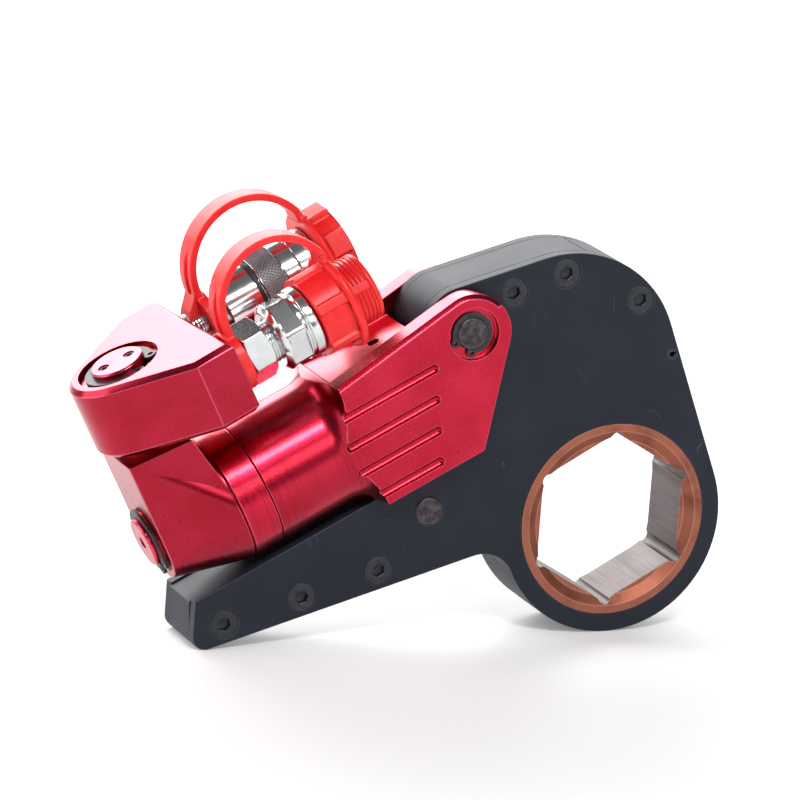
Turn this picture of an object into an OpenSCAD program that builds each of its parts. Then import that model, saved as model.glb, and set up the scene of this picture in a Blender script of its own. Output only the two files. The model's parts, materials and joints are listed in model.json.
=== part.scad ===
// Low-profile hydraulic torque wrench: a hexagon link with its ratchet drive,
// and a power head with a two-axis hose swivel.
// Sizes are drawn with the cylinder level, then the tool is leaned until it stands on its tail and ring.

/* [Stance] */
// Lean of the cylinder when the tool stands on its tail and ring
stand_tilt = 28; // [24:1:30]

/* [Hexagon and ratchet] */
// Hexagon across its flats
hex_af = 60; // [50:1:64]
// Turn of the hexagon when the tool stands
hex_turn = 0; // [-15:1:15]
// Radius of the relief in each hexagon corner
hex_relief_r = 2.4; // [1.5:0.1:3]
// Wall of the wheel outside the hexagon corners
wheel_wall = 3.5; // [3:0.1:5]
// Height of a ratchet tooth
tooth_h = 2.5; // [2:0.1:3]
// Number of ratchet teeth
tooth_count = 48; // [40:1:54]
// Teeth passed in one stroke
stroke_teeth = 3; // [2:1:3]
// Width of the toothed band
tooth_band_w = 14; // [10:0.5:14]

/* [Link plates] */
// Width of the link over its side plates
link_w = 32; // [31:0.5:38]
// Thickness of one side plate
plate_t = 5; // [4:0.25:5.5]
// Thickness of the edge shroud between the plates
shroud_t = 3; // [2.5:0.25:4]
// Radius of the upper outer corner
corner_r = 46.5; // [44:0.5:50]
// Place of the upper corner's centre along the tool
corner_x = 7.3; // [4:0.1:10]
// Drop of the upper corner's centre below the cylinder axis
corner_drop = 17.1; // [15:0.1:19]
// Radius of the lug at the link pin
lug_r = 16.4; // [15:0.2:19]
// Place of the link pin along the tool
pin_x = -24.6; // [-26:0.1:-22]
// Height of the link pin over the cylinder axis
pin_rise = 19.9; // [18:0.1:21]
// Radius of the link pin
pin_r = 6.4; // [5:0.1:7]
// Reach of the tail's upper end behind the hexagon
tail_reach = 166.5; // [158:0.5:172]
// Slope of the tail's underside
tail_slope = 11; // [9:0.5:13]
// Radius where the tail runs into the ring
tail_fillet_r = 14; // [10:0.5:17]
// Radius of the tail's lower corner
tail_corner_r = 5.5; // [3:0.5:8]

/* [Link fasteners] */
// Radius of a countersunk screw head
screw_head_r = 6; // [5:0.1:6.5]
// Radius of a screw shank
screw_r = 3; // [2.5:0.1:3.5]
// Length of a screw
screw_len = 14; // [10:0.5:15]
// Pitch of the three screws along the tail
tail_screw_pitch = 32.3; // [28:0.1:33]
// Height of those screws over the tail's underside
tail_screw_rise = 7.9; // [7:0.1:10]
// Radius of the holding pawl's pin
pawl_pin_r = 6; // [5:0.1:6.5]
// Radius of the slotted stop pin
stop_pin_r = 2; // [1.5:0.1:2.5]

/* [Crank and pawls] */
// Thickness of one crank plate
crank_t = 3.4; // [3:0.1:3.5]
// Radius of the crank's eye round the drive pin
crank_eye_r = 9; // [8:0.25:9.5]
// Radius of the drive pin
drive_pin_r = 5; // [4:0.1:5.2]
// Half width of the drive pawl
pawl_half_w = 9; // [8:0.25:10]
// Height of the drive pawl over the tooth roots
pawl_h = 13; // [11:0.5:14]
// Travel of the drive pawl as it rides over a tooth
pawl_lift = 2.7; // [2.6:0.1:3.2]
// Radius of the drive pawl springs
pawl_spring_r = 2.6; // [2:0.1:3]

/* [Power head] */
// Height of the cylinder axis over the hexagon centre
head_z = 83.5; // [82:0.5:90]
// Radius of the cylinder outside
head_r = 26; // [25:0.25:27]
// Stand of each cheek's face over the side of the cylinder
cheek_proud = 0.5; // [0.3:0.1:3]
// Front face of the web between the cheeks
web_front_x = -42.5; // [-44:0.5:-42]
// Rear wall of the cheek block
block_x = -83; // [-86:0.5:-80]
// Radius of the turned flare from cylinder to cheek block
flare_r = 10; // [7:0.5:12]
// Height of the cheek block at its rear, over the cylinder axis
block_rise = 27.7; // [26.5:0.1:29]
// Height of the web's top over the cylinder axis
web_rise = 26.5; // [24:0.5:27]
// Front lower corner of a cheek along the tool
cheek_corner_x = -39.2; // [-42:0.2:-37]
// Radius of a cheek's nose round the link pin
cheek_nose_r = 15.7; // [14:0.1:17]
// Bevel along the top of a cheek
cheek_bevel = 1.6; // [0.8:0.1:2.5]
// Radius of the counterbore over each pin end
pin_recess_r = 10.4; // [10:0.1:11]
// Depth of that counterbore
pin_recess_d = 2.8; // [2.5:0.1:4.5]
// Number of grooves on a cheek
groove_count = 4; // [3:1:4]
// Pitch of the grooves
groove_pitch = 11.8; // [10:0.1:12]
// Radius of a groove's cutter
groove_r = 1.8; // [1.2:0.1:2.2]
// Joint between the cylinder and the end cap
cap_seam_x = -123.9; // [-126:0.5:-122]
// Length of the end cap
end_cap_len = 12.8; // [11:0.2:15]

/* [Piston] */
// Radius of the piston
piston_r = 15; // [14:0.25:16]
// Length of the piston
piston_len = 13; // [11:0.5:14]
// Radius of the piston rod
rod_r = 9; // [8:0.25:9.5]
// Radius of the rod gland
gland_r = 13; // [12:0.25:13.5]
// Length of the rod gland
gland_len = 20; // [14:0.5:22]

/* [Hose swivel] */
// Length of the lower swivel's block
knuckle_len = 28.8; // [27:0.2:31]
// Half width of the lower swivel's block
knuckle_half_w = 17.3; // [16.5:0.1:19]
// Height of the lower swivel's top over the cylinder axis
knuckle_rise = 37.3; // [35:0.1:39]
// Thickness of the lower swivel's round flange
flange_t = 2.5; // [2:0.1:3]
// Offset of the upper post from the middle of the lower swivel
post_shift = 2.2; // [0:0.1:3]
// Radius of both swivel posts
post_r = 12; // [11:0.1:12.5]
// Height of the collar under the upper swivel
collar_h = 6.9; // [5:0.1:8]
// Thickness of the upper swivel
block_h = 26; // [24:0.5:28]
// Radius of the upper swivel's round end
block_end_r = 21; // [20:0.5:23]
// Half width of the upper swivel
block_half_w = 38; // [36:0.5:42]
// Reach of the upper swivel's face from its post
block_face_u = 34.2; // [33:0.2:37]
// Length of the upper swivel's parallel sides
block_side_len = 16.3; // [13:0.1:17]
// Chamfer of the upper swivel
block_chamfer = 2; // [1:0.1:2.5]
// Radius of the counterbore round the upper post
post_recess_r = 16.5; // [15.5:0.1:17.5]
// Depth of that counterbore
post_recess_d = 5.6; // [5:0.1:6.5]
// Turn of the upper swivel in the stored pose
swivel_yaw = 3; // [-6:1:6]

/* [Couplers] */
// Half distance between the two couplers
coupler_half_gap = 24.5; // [23.5:0.25:26]
// Hexagon of the nipples across its flats
nipple_af = 22; // [19:0.5:23]
// Length of a nipple's hexagon
nipple_hex_len = 10; // [8:0.2:11]
// Turn of the nipples' hexagons as tightened
nipple_turn = 15; // [0:1:30]
// Thickness of the strap ring behind a nipple
strap_ring_t = 4.4; // [3:0.2:5]
// Radius of the plain coupler's body
coupler_a_r = 14; // [13.5:0.1:15]
// Length of the plain coupler's body
coupler_a_len = 16.8; // [15:0.1:22]
// Radius of the sleeved coupler's body
coupler_b_r = 13; // [12.5:0.1:13.5]
// Radius of the knurled sleeve
sleeve_r = 15; // [14.5:0.1:15.8]
// Length of the knurled sleeve
sleeve_len = 10.4; // [9:0.1:13]
// Radius of the coupler ends inside the caps
spigot_r = 13; // [12.5:0.1:13.5]
// Radius of a valve poppet
poppet_r = 5; // [4:0.1:6]
// Radius of a dust cap's flange
cap_flange_r = 19.7; // [18.5:0.1:20.5]
// Thickness of a dust cap's flange
cap_flange_t = 3.2; // [2.5:0.1:4.5]
// Thickness of a dust cap's wall
cap_wall = 3.2; // [2.2:0.1:3.6]
// Length of the near cap's skirt
cap_a_skirt = 12.3; // [10:0.1:15]
// Length of the near cap's threaded end
cap_a_thread = 11; // [7:0.1:12]
// Radius of that threaded end
cap_a_thread_r = 13.2; // [11:0.1:14]
// Length of the far cap's body
cap_b_body = 9.6; // [8:0.1:14]
// Width of the ribs on the near cap
cap_rib_w = 4; // [3:0.1:5]
// Width of the grips on the far cap
cap_grip_w = 10; // [7:0.1:11]
// Width of a strap
strap_w = 11; // [9:0.25:12]
// Thickness of a strap
strap_t = 3; // [2:0.1:3.5]
// Height of a strap's arch over its coupler's axis
strap_rise = 40.1; // [36:0.1:46]

/* [Fits] */
// Radial clearance of a turning or sliding fit
run_fit = 0.06; // [0.03:0.01:0.1]
// Gap between faces that move past each other
face_gap = 0.3; // [0.2:0.05:0.5]

/* [Hidden] */
$fn = 64;

// Ratchet and ring radii, from the hexagon outwards
hex_corner_r = hex_af / 2 / cos(30);
hex_relief_at = hex_corner_r - hex_relief_r * 0.65;
journal_r = hex_relief_at + hex_relief_r + wheel_wall;
tooth_root_r = journal_r + 1;
tooth_tip_r = tooth_root_r + tooth_h;
crank_ring_r = tooth_tip_r + 0.5;
ring_r = crank_ring_r + 0.5 + shroud_t;
tooth_pitch = 360 / tooth_count;
stroke = stroke_teeth * tooth_pitch;

// Layers across the link
plate_out = link_w / 2;
plate_in = plate_out - plate_t;
crank_out = plate_in - face_gap;
crank_in = crank_out - crank_t;
band_y = min(tooth_band_w / 2, crank_in - face_gap);
wheel_y = plate_out + 0.2;
head_out = head_r + cheek_proud;
head_w = 2 * head_out;
slot_y = plate_out + face_gap;

// Key points of the link in the plane of its plates
hub = [0, 0];
corner_c = [corner_x, head_z - corner_drop];
pin_c = [pin_x, head_z + pin_rise];
tail_top = head_z - head_r + 0.4;
tail_block_top = tail_top - 1.9;
tail_dir = [cos(tail_slope), -sin(tail_slope)];
tail_down = [-sin(tail_slope), -cos(tail_slope)];
tail_tip = [-tail_reach, tail_top];
end_dir = [-sin(stand_tilt), -cos(stand_tilt)];
end_out = [-cos(stand_tilt), sin(stand_tilt)];
heel_c = end_out * (end_out * tail_tip - tail_corner_r) + end_dir * (ring_r - tail_corner_r);
tail_rise = -(tail_down * heel_c) - tail_corner_r;
fillet_b = tail_fillet_r - tail_rise;
fillet_a = -sqrt(pow(ring_r + tail_fillet_r, 2) - pow(fillet_b, 2));
fillet_c = tail_dir * fillet_a + tail_down * fillet_b;
lug_back_x = pin_x - lug_r;
pawl_pin_c = [-67, tail_block_top - 13.4];
tail_block_x = pawl_pin_c.x - 13.3;
stop_pin_c = side_point(hub, ring_r, corner_c, corner_r, 0.815, shroud_t);
screw_points = [
    for (i = [0:2]) tail_screw(-tail_reach + 6.9 + i * tail_screw_pitch),
    pin_c + [24.1, 2.4],
    pin_c + [46.8, -1.3],
    corner_c + 39.8 * [cos(15), sin(15)]
];
shroud_from_x = tail_block_x + face_gap;
spacer_to_x = corner_x + 27;

// Crank, rod and pawls in the retracted position
arm = head_z;
crank_rest = -stroke / 2;
drive_pin_c = arm * [sin(crank_rest), cos(crank_rest)];
rod_travel = 2 * arm * sin(stroke / 2);
rod_end_top = head_z + drive_pin_r + 2.5;
rod_end_bottom = head_z - drive_pin_r - 4.5;
spacer_cut_r = arm + crank_eye_r + 0.8;
rod_path_top = max(rod_end_top, head_z + rod_r) + 0.7;
guide_wall = 4;
guide_top_r = tooth_root_r + pawl_h + pawl_lift + 9;
hold_nose_c = 47.5 / 42.5 * tooth_tip_r * [cos(137), sin(137)];

// Power head along the tool
cheek_bottom = head_z - head_r + 0.7;
block_top = head_z + block_rise;
web_top = head_z + web_rise;
web_bottom = tail_top + face_gap + 0.1;
cap_rear_x = cap_seam_x - end_cap_len;
piston_back_x = cap_seam_x + 2.4;
piston_face_x = piston_back_x + piston_len;
bore_end_x = piston_face_x + rod_travel + 1.5;
rod_end_back_x = drive_pin_c.x - drive_pin_r - 12;

// Swivel heights and lengths
knuckle_front_x = cap_rear_x - face_gap - flange_t;
knuckle_rear_x = knuckle_front_x - knuckle_len;
post_x = (knuckle_front_x + knuckle_rear_x) / 2 + post_shift;
post_end_x = knuckle_rear_x - 3.9;
knuckle_top = head_z + knuckle_rise;
collar_top = knuckle_top + collar_h;
collar_r = post_r + 2.2;
block_bottom = collar_top + face_gap;
block_ceiling = block_bottom + block_h;
recess_floor = block_ceiling - post_recess_d;
post_top = block_ceiling + 1.5;
ring_t = 1.3;
coupler_z = block_bottom + block_h / 2;

// Coupler stations from the upper post
nipple_u = block_face_u + strap_ring_t + 0.2;
nipple_end_u = nipple_u + nipple_hex_len;
nipple_r = 8.4;
neck_len = 3.6;
body_a_u = nipple_end_u + neck_len;
body_a_end = body_a_u + coupler_a_len;
cap_a_u = body_a_end + face_gap;
cap_a_flange_u = cap_a_u + cap_a_skirt;
cap_a_end = cap_a_flange_u + cap_flange_t + cap_a_thread;
cap_roof = 0.6;
spigot_a_end = cap_a_flange_u - cap_roof;
hex_b_u = block_face_u + 0.1;
hex_b_end = hex_b_u + nipple_hex_len;
body_b_u = body_a_u;
lock_ring_t = 1.6;
ring_b_u = body_b_u + 14.6;
sleeve_u = ring_b_u + lock_ring_t + face_gap;
collar_b_u = sleeve_u + sleeve_len + face_gap;
cap_b_u = collar_b_u + 15.8;
tab_b_u = cap_b_u - 0.8;
cap_b_end = cap_b_u + cap_flange_t + cap_b_body;
spigot_b_end = cap_b_end - cap_wall - cap_roof;
cap_bore_r = spigot_r + face_gap;
cap_r = cap_bore_r + cap_wall;
poppet_len = 8;
poppet_travel = 4;
cap_rib_turn = 7;
cap_rib_h = 1.3;
cap_grip_h = 2;
strap_ring_a_u = block_face_u + 0.1;
strap_ring_b_u = hex_b_end + 0.1;

// Plane geometry
function turn(v, a) = [v.x * cos(a) - v.y * sin(a), v.x * sin(a) + v.y * cos(a)];
function unit(v) = v / norm(v);
// Normal of the common tangent on the right of the way from one circle to the next
function side_normal(c1, r1, c2, r2) = turn(unit(c2 - c1), -acos((r1 - r2) / norm(c2 - c1)));
// A point along that tangent, set in by a depth
function side_point(c1, r1, c2, r2, share, depth) =
    let (n = side_normal(c1, r1, c2, r2))
    (c1 + r1 * n) * (1 - share) + (c2 + r2 * n) * share - depth * n;
// A tail screw, on a line along the tail's underside
function tail_screw(x) = [x, tail_rise / cos(tail_slope) - x * tan(tail_slope) + tail_screw_rise];

// Placing and sweeping helpers
module stand() {
    rotate([0, -stand_tilt, 0]) children();
}
module slab(y0, y1) {
    translate([0, y1, 0]) rotate([90, 0, 0]) linear_extrude(y1 - y0) children();
}
module bar_y(c, r, y0, y1) {
    translate([c.x, y1, c.y]) rotate([90, 0, 0]) cylinder(r = r, h = y1 - y0);
}
module bar_x(z, r, x0, x1) {
    translate([x0, 0, z]) rotate([0, 90, 0]) cylinder(r = r, h = x1 - x0);
}
// A turned piece on the cylinder axis, from stations of place and radius
module turned(stations, y = 0, z = head_z) {
    translate([0, y, z]) rotate([0, 90, 0]) rotate_extrude() polygon([for (s = stations) [s.y, s.x]]);
}
module on_swivel() {
    translate([post_x, 0, 0]) rotate([0, 0, swivel_yaw]) children();
}
// Two circles with the belt round them
module belt(c1, r1, c2, r2) {
    n = side_normal(c1, r1, c2, r2);
    m = side_normal(c2, r2, c1, r1);
    translate(c1) circle(r1);
    translate(c2) circle(r2);
    polygon([c1 + r1 * n, c2 + r2 * n, c2 + r2 * m, c1 + r1 * m]);
}
module hex_prism_x(af, x0, x1) {
    translate([x0, 0, 0]) rotate([0, 90, 0]) rotate([0, 0, 30]) cylinder(r = af / 2 / cos(30), h = x1 - x0, $fn = 6);
}
module round_seal(x, r, wire) {
    translate([x, 0, 0]) rotate([0, 90, 0]) rotate_extrude() translate([r, 0]) circle(wire, $fn = 24);
}
// An external circlip in its own plane, with its gap towards +X
module circlip(inner, outer, gap) {
    w = outer - inner;
    lug = 0.4 * w + 1;
    lug_at = inner + 0.74 * w;
    difference() {
        union() {
            difference() {
                circle(outer);
                polygon([[0, 0], 2 * outer * [cos(gap), sin(gap)], [2 * outer, 0], 2 * outer * [cos(gap), -sin(gap)]]);
            }
            for (s = [-1, 1]) rotate(s * (gap + 9)) translate([lug_at, 0]) circle(lug);
        }
        circle(inner);
        for (s = [-1, 1]) rotate(s * (gap + 9)) translate([lug_at + 0.3, 0]) circle(lug * 0.4);
    }
}
// A closed coil spring along +Z
module coil(r, wire, turns, h) {
    sides = 6;
    per_turn = 12;
    rings = turns * per_turn;
    function ring_c(i) = [r * cos(360 * i / per_turn), r * sin(360 * i / per_turn), wire + (h - 2 * wire) * i / rings];
    function ring_p(i, k) =
        let (a = 360 * i / per_turn, b = 360 * k / sides)
        ring_c(i) + wire * (cos(b) * [cos(a), sin(a), 0] + sin(b) * [0, 0, 1]);
    points = [for (i = [0:rings]) for (k = [0:sides - 1]) ring_p(i, k)];
    walls = [for (i = [0:rings - 1]) for (k = [0:sides - 1])
        let (j = (k + 1) % sides)
        [i * sides + k, (i + 1) * sides + k, (i + 1) * sides + j, i * sides + j]];
    first = [[for (k = [0:sides - 1]) k]];
    last = [[for (k = [sides - 1:-1:0]) rings * sides + k]];
    polyhedron(points, concat(first, walls, last), convexity = 6);
}

// Link outline, set in by a depth all round
module link_outline(depth = 0) {
    r0 = ring_r - depth;
    r1 = corner_r - depth;
    r2 = lug_r - depth;
    n01 = side_normal(hub, r0, corner_c, r1);
    n12 = side_normal(corner_c, r1, pin_c, r2);
    heel_r = tail_corner_r - depth;
    fillet = tail_fillet_r + depth;
    top = tail_top - depth;
    tip_t = (tail_tip.y - top) / cos(stand_tilt);
    difference() {
        union() {
            translate(hub) circle(r0, $fn = 96);
            translate(corner_c) circle(r1, $fn = 96);
            translate(pin_c) circle(r2);
            translate(heel_c) circle(heel_r);
            polygon([
                hub + r0 * n01, corner_c + r1 * n01, corner_c + r1 * n12, pin_c + r2 * n12,
                [lug_back_x + depth, pin_c.y], [lug_back_x + depth, top],
                tail_tip + end_dir * tip_t - end_out * depth,
                heel_c + end_out * heel_r,
                heel_c + tail_down * heel_r,
                fillet_c - tail_down * fillet, fillet_c, unit(fillet_c) * r0, hub
            ]);
        }
        translate(fillet_c) circle(fillet + 0.003);
    }
}
module screw_holes(side) {
    for (c = screw_points) translate([c.x, 0, c.y]) countersunk(side, 0);
}
// A countersunk screw's outline on one face of the link, pointing inwards
module countersunk(side, socket) {
    head_t = screw_head_r - screw_r;
    socket_r = screw_head_r * 0.42;
    translate([0, side * plate_out, 0]) rotate([side * 90, 0, 0])
        difference() {
            rotate_extrude() polygon([
                [0, 0], [screw_head_r, 0], [screw_head_r, 0.4], [screw_r, 0.4 + head_t], [screw_r, screw_len],
                [0, screw_len]
            ]);
            if (socket > 0) translate([0, 0, -1]) cylinder(r = socket_r, h = 1 + head_t * 0.9, $fn = 6);
        }
}
module plate_screws(side) {
    color("#23262b") stand() for (c = screw_points) translate([c.x, 0, c.y]) countersunk(side, 1);
}

// Side plates, the same outline on both faces
module side_plate(side) {
    lo = side > 0 ? plate_in : -plate_out;
    color("#2c3038") stand() difference() {
        slab(lo, lo + plate_t) link_outline();
        bar_y(hub, journal_r + run_fit, lo - 1, lo + plate_t + 1);
        bar_y(pin_c, pin_r, lo - 1, lo + plate_t + 1);
        bar_y(pawl_pin_c, pawl_pin_r, lo - 1, lo + plate_t + 1);
        bar_y(stop_pin_c, stop_pin_r, lo - 1, lo + plate_t + 1);
        screw_holes(side);
    }
}
module side_plate_front() { side_plate(-1); }
module side_plate_rear() { side_plate(1); }

// Solid block between the plates that takes the reaction
module tail_block() {
    color("#33373f") stand() difference() {
        slab(-plate_in, plate_in) intersection() {
            link_outline();
            translate([-tail_reach - 40, -40]) square([tail_reach + 40 + tail_block_x, 40 + tail_block_top]);
        }
        for (side = [-1, 1]) screw_holes(side);
    }
}
// Band that closes the edge between the plates, with a boss at each fastener
module edge_shroud() {
    y = plate_in;
    color("#33373f") stand() difference() {
        intersection() {
            slab(-y, y) link_outline();
            union() {
                translate([shroud_from_x, -y - 1, -2 * ring_r])
                    cube([4 * ring_r, 2 * y + 2, 2 * ring_r + stop_pin_c.y]);
                translate([spacer_to_x + face_gap, -y - 1, 0]) cube([2 * corner_r, 2 * y + 2, 4 * corner_r]);
            }
        }
        difference() {
            slab(-y - 1, y + 1) link_outline(shroud_t);
            bar_y(screw_points[5], screw_head_r + 1, -y - 2, y + 2);
            bar_y(stop_pin_c, stop_pin_r + 2.5, -y - 2, y + 2);
        }
        for (side = [-1, 1]) screw_holes(side);
        bar_y(stop_pin_c, stop_pin_r, -plate_out, plate_out);
    }
}
// Upper spacer with the lug for the link pin
module top_spacer() {
    color("#33373f") stand() difference() {
        slab(-plate_in, plate_in) difference() {
            link_outline();
            translate(hub) circle(spacer_cut_r, $fn = 96);
            translate([-4 * ring_r, -4 * ring_r]) square([8 * ring_r, 4 * ring_r + rod_path_top]);
            translate([spacer_to_x, 0]) square([2 * corner_r, 4 * corner_r]);
        }
        bar_y(pin_c, pin_r, -plate_out, plate_out);
        for (side = [-1, 1]) screw_holes(side);
    }
}
module plate_screws_front() { plate_screws(-1); }
module plate_screws_rear() { plate_screws(1); }
module holding_pawl_pin() {
    proud = 0.8;
    color("#4a4b50") stand() translate([pawl_pin_c.x, 0, pawl_pin_c.y]) rotate([90, 0, 0]) rotate_extrude() polygon([
        [0, -plate_out - proud], [pawl_pin_r - 0.8, -plate_out - proud], [pawl_pin_r, -plate_out],
        [pawl_pin_r, plate_out], [pawl_pin_r - 0.8, plate_out + proud], [0, plate_out + proud]
    ]);
}
module stop_pin() {
    color("#3a3c42") stand() difference() {
        bar_y(stop_pin_c, stop_pin_r, -plate_out + 0.3, plate_out - 0.3);
        bar_y(stop_pin_c, stop_pin_r * 0.55, -plate_out, plate_out);
        translate([stop_pin_c.x, -plate_out, stop_pin_c.y - stop_pin_r * 0.15])
            cube([2 * stop_pin_r, link_w, stop_pin_r * 0.3]);
    }
}

// Ratchet tooth outline: a steep face that is driven and a sloping back
module ratchet_outline(grow = 0) {
    lead = 0.13 * tooth_pitch;
    top = 0.15 * tooth_pitch;
    back = 0.58 * tooth_pitch;
    tip = tooth_tip_r + grow;
    root = tooth_root_r + grow;
    polygon([for (i = [0:tooth_count - 1]) for (p = [
        [root, i * tooth_pitch], [tip, i * tooth_pitch + back], [tip, i * tooth_pitch + back + top],
        [root, i * tooth_pitch + back + top + lead]
    ]) p.x * [cos(p.y), sin(p.y)]]);
}
module ratchet_wheel() {
    entry = 2.4;
    color("#b0683f") stand() difference() {
        union() {
            slab(-band_y, band_y) rotate(-crank_rest) ratchet_outline();
            bar_y(hub, journal_r, -wheel_y, wheel_y, $fn = 96);
        }
        slab(-wheel_y - 1, wheel_y + 1) rotate(hex_turn + 90 - stand_tilt) {
            circle(hex_corner_r, $fn = 6);
            for (a = [0:60:300]) rotate(a) translate([hex_relief_at, 0]) circle(hex_relief_r, $fn = 32);
        }
        for (s = [-1, 1]) translate([0, s * wheel_y, 0]) rotate([s * 90, 0, 0])
            translate([0, 0, -0.01]) cylinder(r1 = hex_corner_r + 1.2, r2 = hex_corner_r + 1.2 - entry * 1.6, h = entry);
    }
}

// Crank: two plates on the wheel's journals, joined by the drive pin and the pawl guide
module crank_frame() {
    rotate([0, crank_rest, 0]) children();
}
module crank_plate(side) {
    lo = side > 0 ? crank_in : -crank_out;
    color("#8d8f94") stand() crank_frame() difference() {
        slab(lo, lo + crank_t) belt(hub, crank_ring_r, [0, arm], crank_eye_r);
        bar_y(hub, journal_r + run_fit, lo - 1, lo + crank_t + 1);
        bar_y([0, arm], drive_pin_r, lo - 1, lo + crank_t + 1);
    }
}
module crank_plate_front() { crank_plate(-1); }
module crank_plate_rear() { crank_plate(1); }
module drive_pin() {
    color("#a7a9ad") stand() crank_frame() bar_y([0, arm], drive_pin_r, -crank_out, crank_out);
}
module pawl_guide() {
    half = pawl_half_w + face_gap;
    seat_r = tooth_root_r + pawl_h + pawl_lift + 1;
    color("#85878c") stand() crank_frame() difference() {
        translate([-half - guide_wall, -crank_in, tooth_tip_r + 2])
            cube([2 * (half + guide_wall), 2 * crank_in, guide_top_r - tooth_tip_r - 2]);
        translate([-half, -crank_in - 1, 0]) cube([2 * half, 2 * crank_in + 2, seat_r]);
        for (s = [-1, 1]) translate([s * pawl_half_w / 2, 0, seat_r - 1])
            cylinder(r = pawl_spring_r + face_gap, h = 5);
    }
}
// Toothed pawl that pushes the wheel round
module drive_pawl() {
    y = band_y - 0.2;
    shake = 0.15;
    spring_pocket = 4;
    color("#9b9da2") stand() crank_frame() difference() {
        translate([-pawl_half_w, -y, tooth_root_r - 1]) cube([2 * pawl_half_w, 2 * y, pawl_h + 1]);
        for (a = [-shake, shake]) slab(-y - 1, y + 1) rotate(a) ratchet_outline(0.15);
        for (s = [-1, 1]) translate([s * pawl_half_w / 2, 0, tooth_root_r + pawl_h - spring_pocket])
            cylinder(r = pawl_spring_r + face_gap, h = spring_pocket + 1);
    }
}
module pawl_springs() {
    low = tooth_root_r + pawl_h - 4 + 0.05;
    high = tooth_root_r + pawl_h + pawl_lift + 5 - 0.05;
    color("#b8babd") stand() crank_frame() for (s = [-1, 1]) translate([s * pawl_half_w / 2, 0, low])
        coil(pawl_spring_r - 0.5, 0.45, 6, high - low);
}
// Pawl that holds the wheel on the return stroke, drawn as it rides on the tooth tips
module holding_pawl() {
    y = band_y - 0.4;
    color("#9b9da2") stand() difference() {
        slab(-y, y) difference() {
            belt(pawl_pin_c, pawl_pin_r + 3, hold_nose_c, 4.5);
            translate(hub) circle(tooth_tip_r + face_gap, $fn = 96);
        }
        bar_y(pawl_pin_c, pawl_pin_r + run_fit, -y - 1, y + 1);
    }
}
module holding_spring() {
    color("#b8babd") stand() translate([pawl_pin_c.x, crank_out, pawl_pin_c.y]) rotate([90, 0, 0])
        coil(pawl_pin_r + 1, 0.5, 2, crank_out - band_y - 0.1);
}

// Power head: cylinder, web and cheeks in one piece
module cheek_outline() {
    low = [cheek_corner_x, cheek_bottom];
    rear = [block_x, block_top];
    front_n = side_normal(low, 0, pin_c, cheek_nose_r);
    top_n = side_normal(pin_c, cheek_nose_r, rear, 0);
    translate(pin_c) circle(cheek_nose_r);
    polygon([
        [block_x, cheek_bottom], low, pin_c + cheek_nose_r * front_n, pin_c, pin_c + cheek_nose_r * top_n, rear
    ]);
}
module cheek_grooves(side) {
    first_z = head_z + 1.3 * groove_pitch;
    for (i = [0:groove_count - 1]) {
        z = first_z - i * groove_pitch;
        end_x = web_front_x - 2.4 - 0.355 * groove_pitch * i;
        start_x = block_x - flare_r * 0.45;
        translate([0, side * (head_out + 0.2), 0]) {
            bar_x(z, groove_r, start_x, end_x);
            for (x = [start_x, end_x]) translate([x, 0, z]) sphere(groove_r, $fn = 32);
        }
    }
}
// Bevel cutter along the outer top edge of a cheek and over its nose
module top_bevel(side) {
    b = cheek_bevel;
    rear = [block_x, block_top];
    top_n = side_normal(pin_c, cheek_nose_r, rear, 0);
    top_a = atan2(top_n.y, top_n.x);
    run = norm(rear - pin_c - cheek_nose_r * top_n);
    module section() {
        polygon([[-b - 0.5, 0.5], [1.5, 0.5], [1.5, -b - 1.5]]);
    }
    mirror([0, side > 0 ? 1 : 0, 0]) translate([0, -head_out, 0]) rotate([90, 0, 0]) {
        translate(pin_c) rotate(20) rotate_extrude(angle = top_a - 20) translate([cheek_nose_r, 0]) section();
        translate(rear) rotate(top_a) rotate([90, 0, 0]) linear_extrude(run) section();
    }
}
module flare() {
    intersection() {
        slab(-head_out, head_out) translate([block_x - flare_r, cheek_bottom])
            square([flare_r + 0.5, block_top - cheek_bottom]);
        difference() {
            bar_x(head_z, head_r + flare_r, block_x - flare_r, block_x + 0.5);
            translate([block_x - flare_r, 0, head_z]) rotate([0, 90, 0])
                rotate_extrude() translate([head_r + flare_r, 0]) circle(flare_r);
        }
    }
}
module cylinder_body() {
    far = 4 * head_r;
    color("#b5152f") stand() difference() {
        union() {
            slab(-head_out, head_out) cheek_outline();
            flare();
            bar_x(head_z, head_r, cap_seam_x, block_x + 1);
        }
        translate([web_front_x, -slot_y, 0]) cube([far, 2 * slot_y, 3 * head_z]);
        translate([block_x - flare_r, -slot_y, 0])
            cube([far, 2 * slot_y, web_bottom]);
        translate([block_x, -slot_y, web_top]) cube([far, 2 * slot_y, head_z]);
        bar_x(head_z, piston_r + run_fit, cap_seam_x - 1, bore_end_x);
        bar_x(head_z, gland_r, bore_end_x - 1, bore_end_x + gland_len);
        bar_x(head_z, rod_r + face_gap, bore_end_x, web_front_x + 1);
        bar_y(pin_c, pin_r, -head_w, head_w);
        for (side = [-1, 1]) {
            bar_y(pin_c, pin_recess_r, side * head_out - pin_recess_d, side * head_out + pin_recess_d);
            cheek_grooves(side);
            top_bevel(side);
        }
        translate([web_front_x - 13.8, 0, web_top - 6]) cylinder(r = 2.3, h = 10);
    }
}
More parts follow.
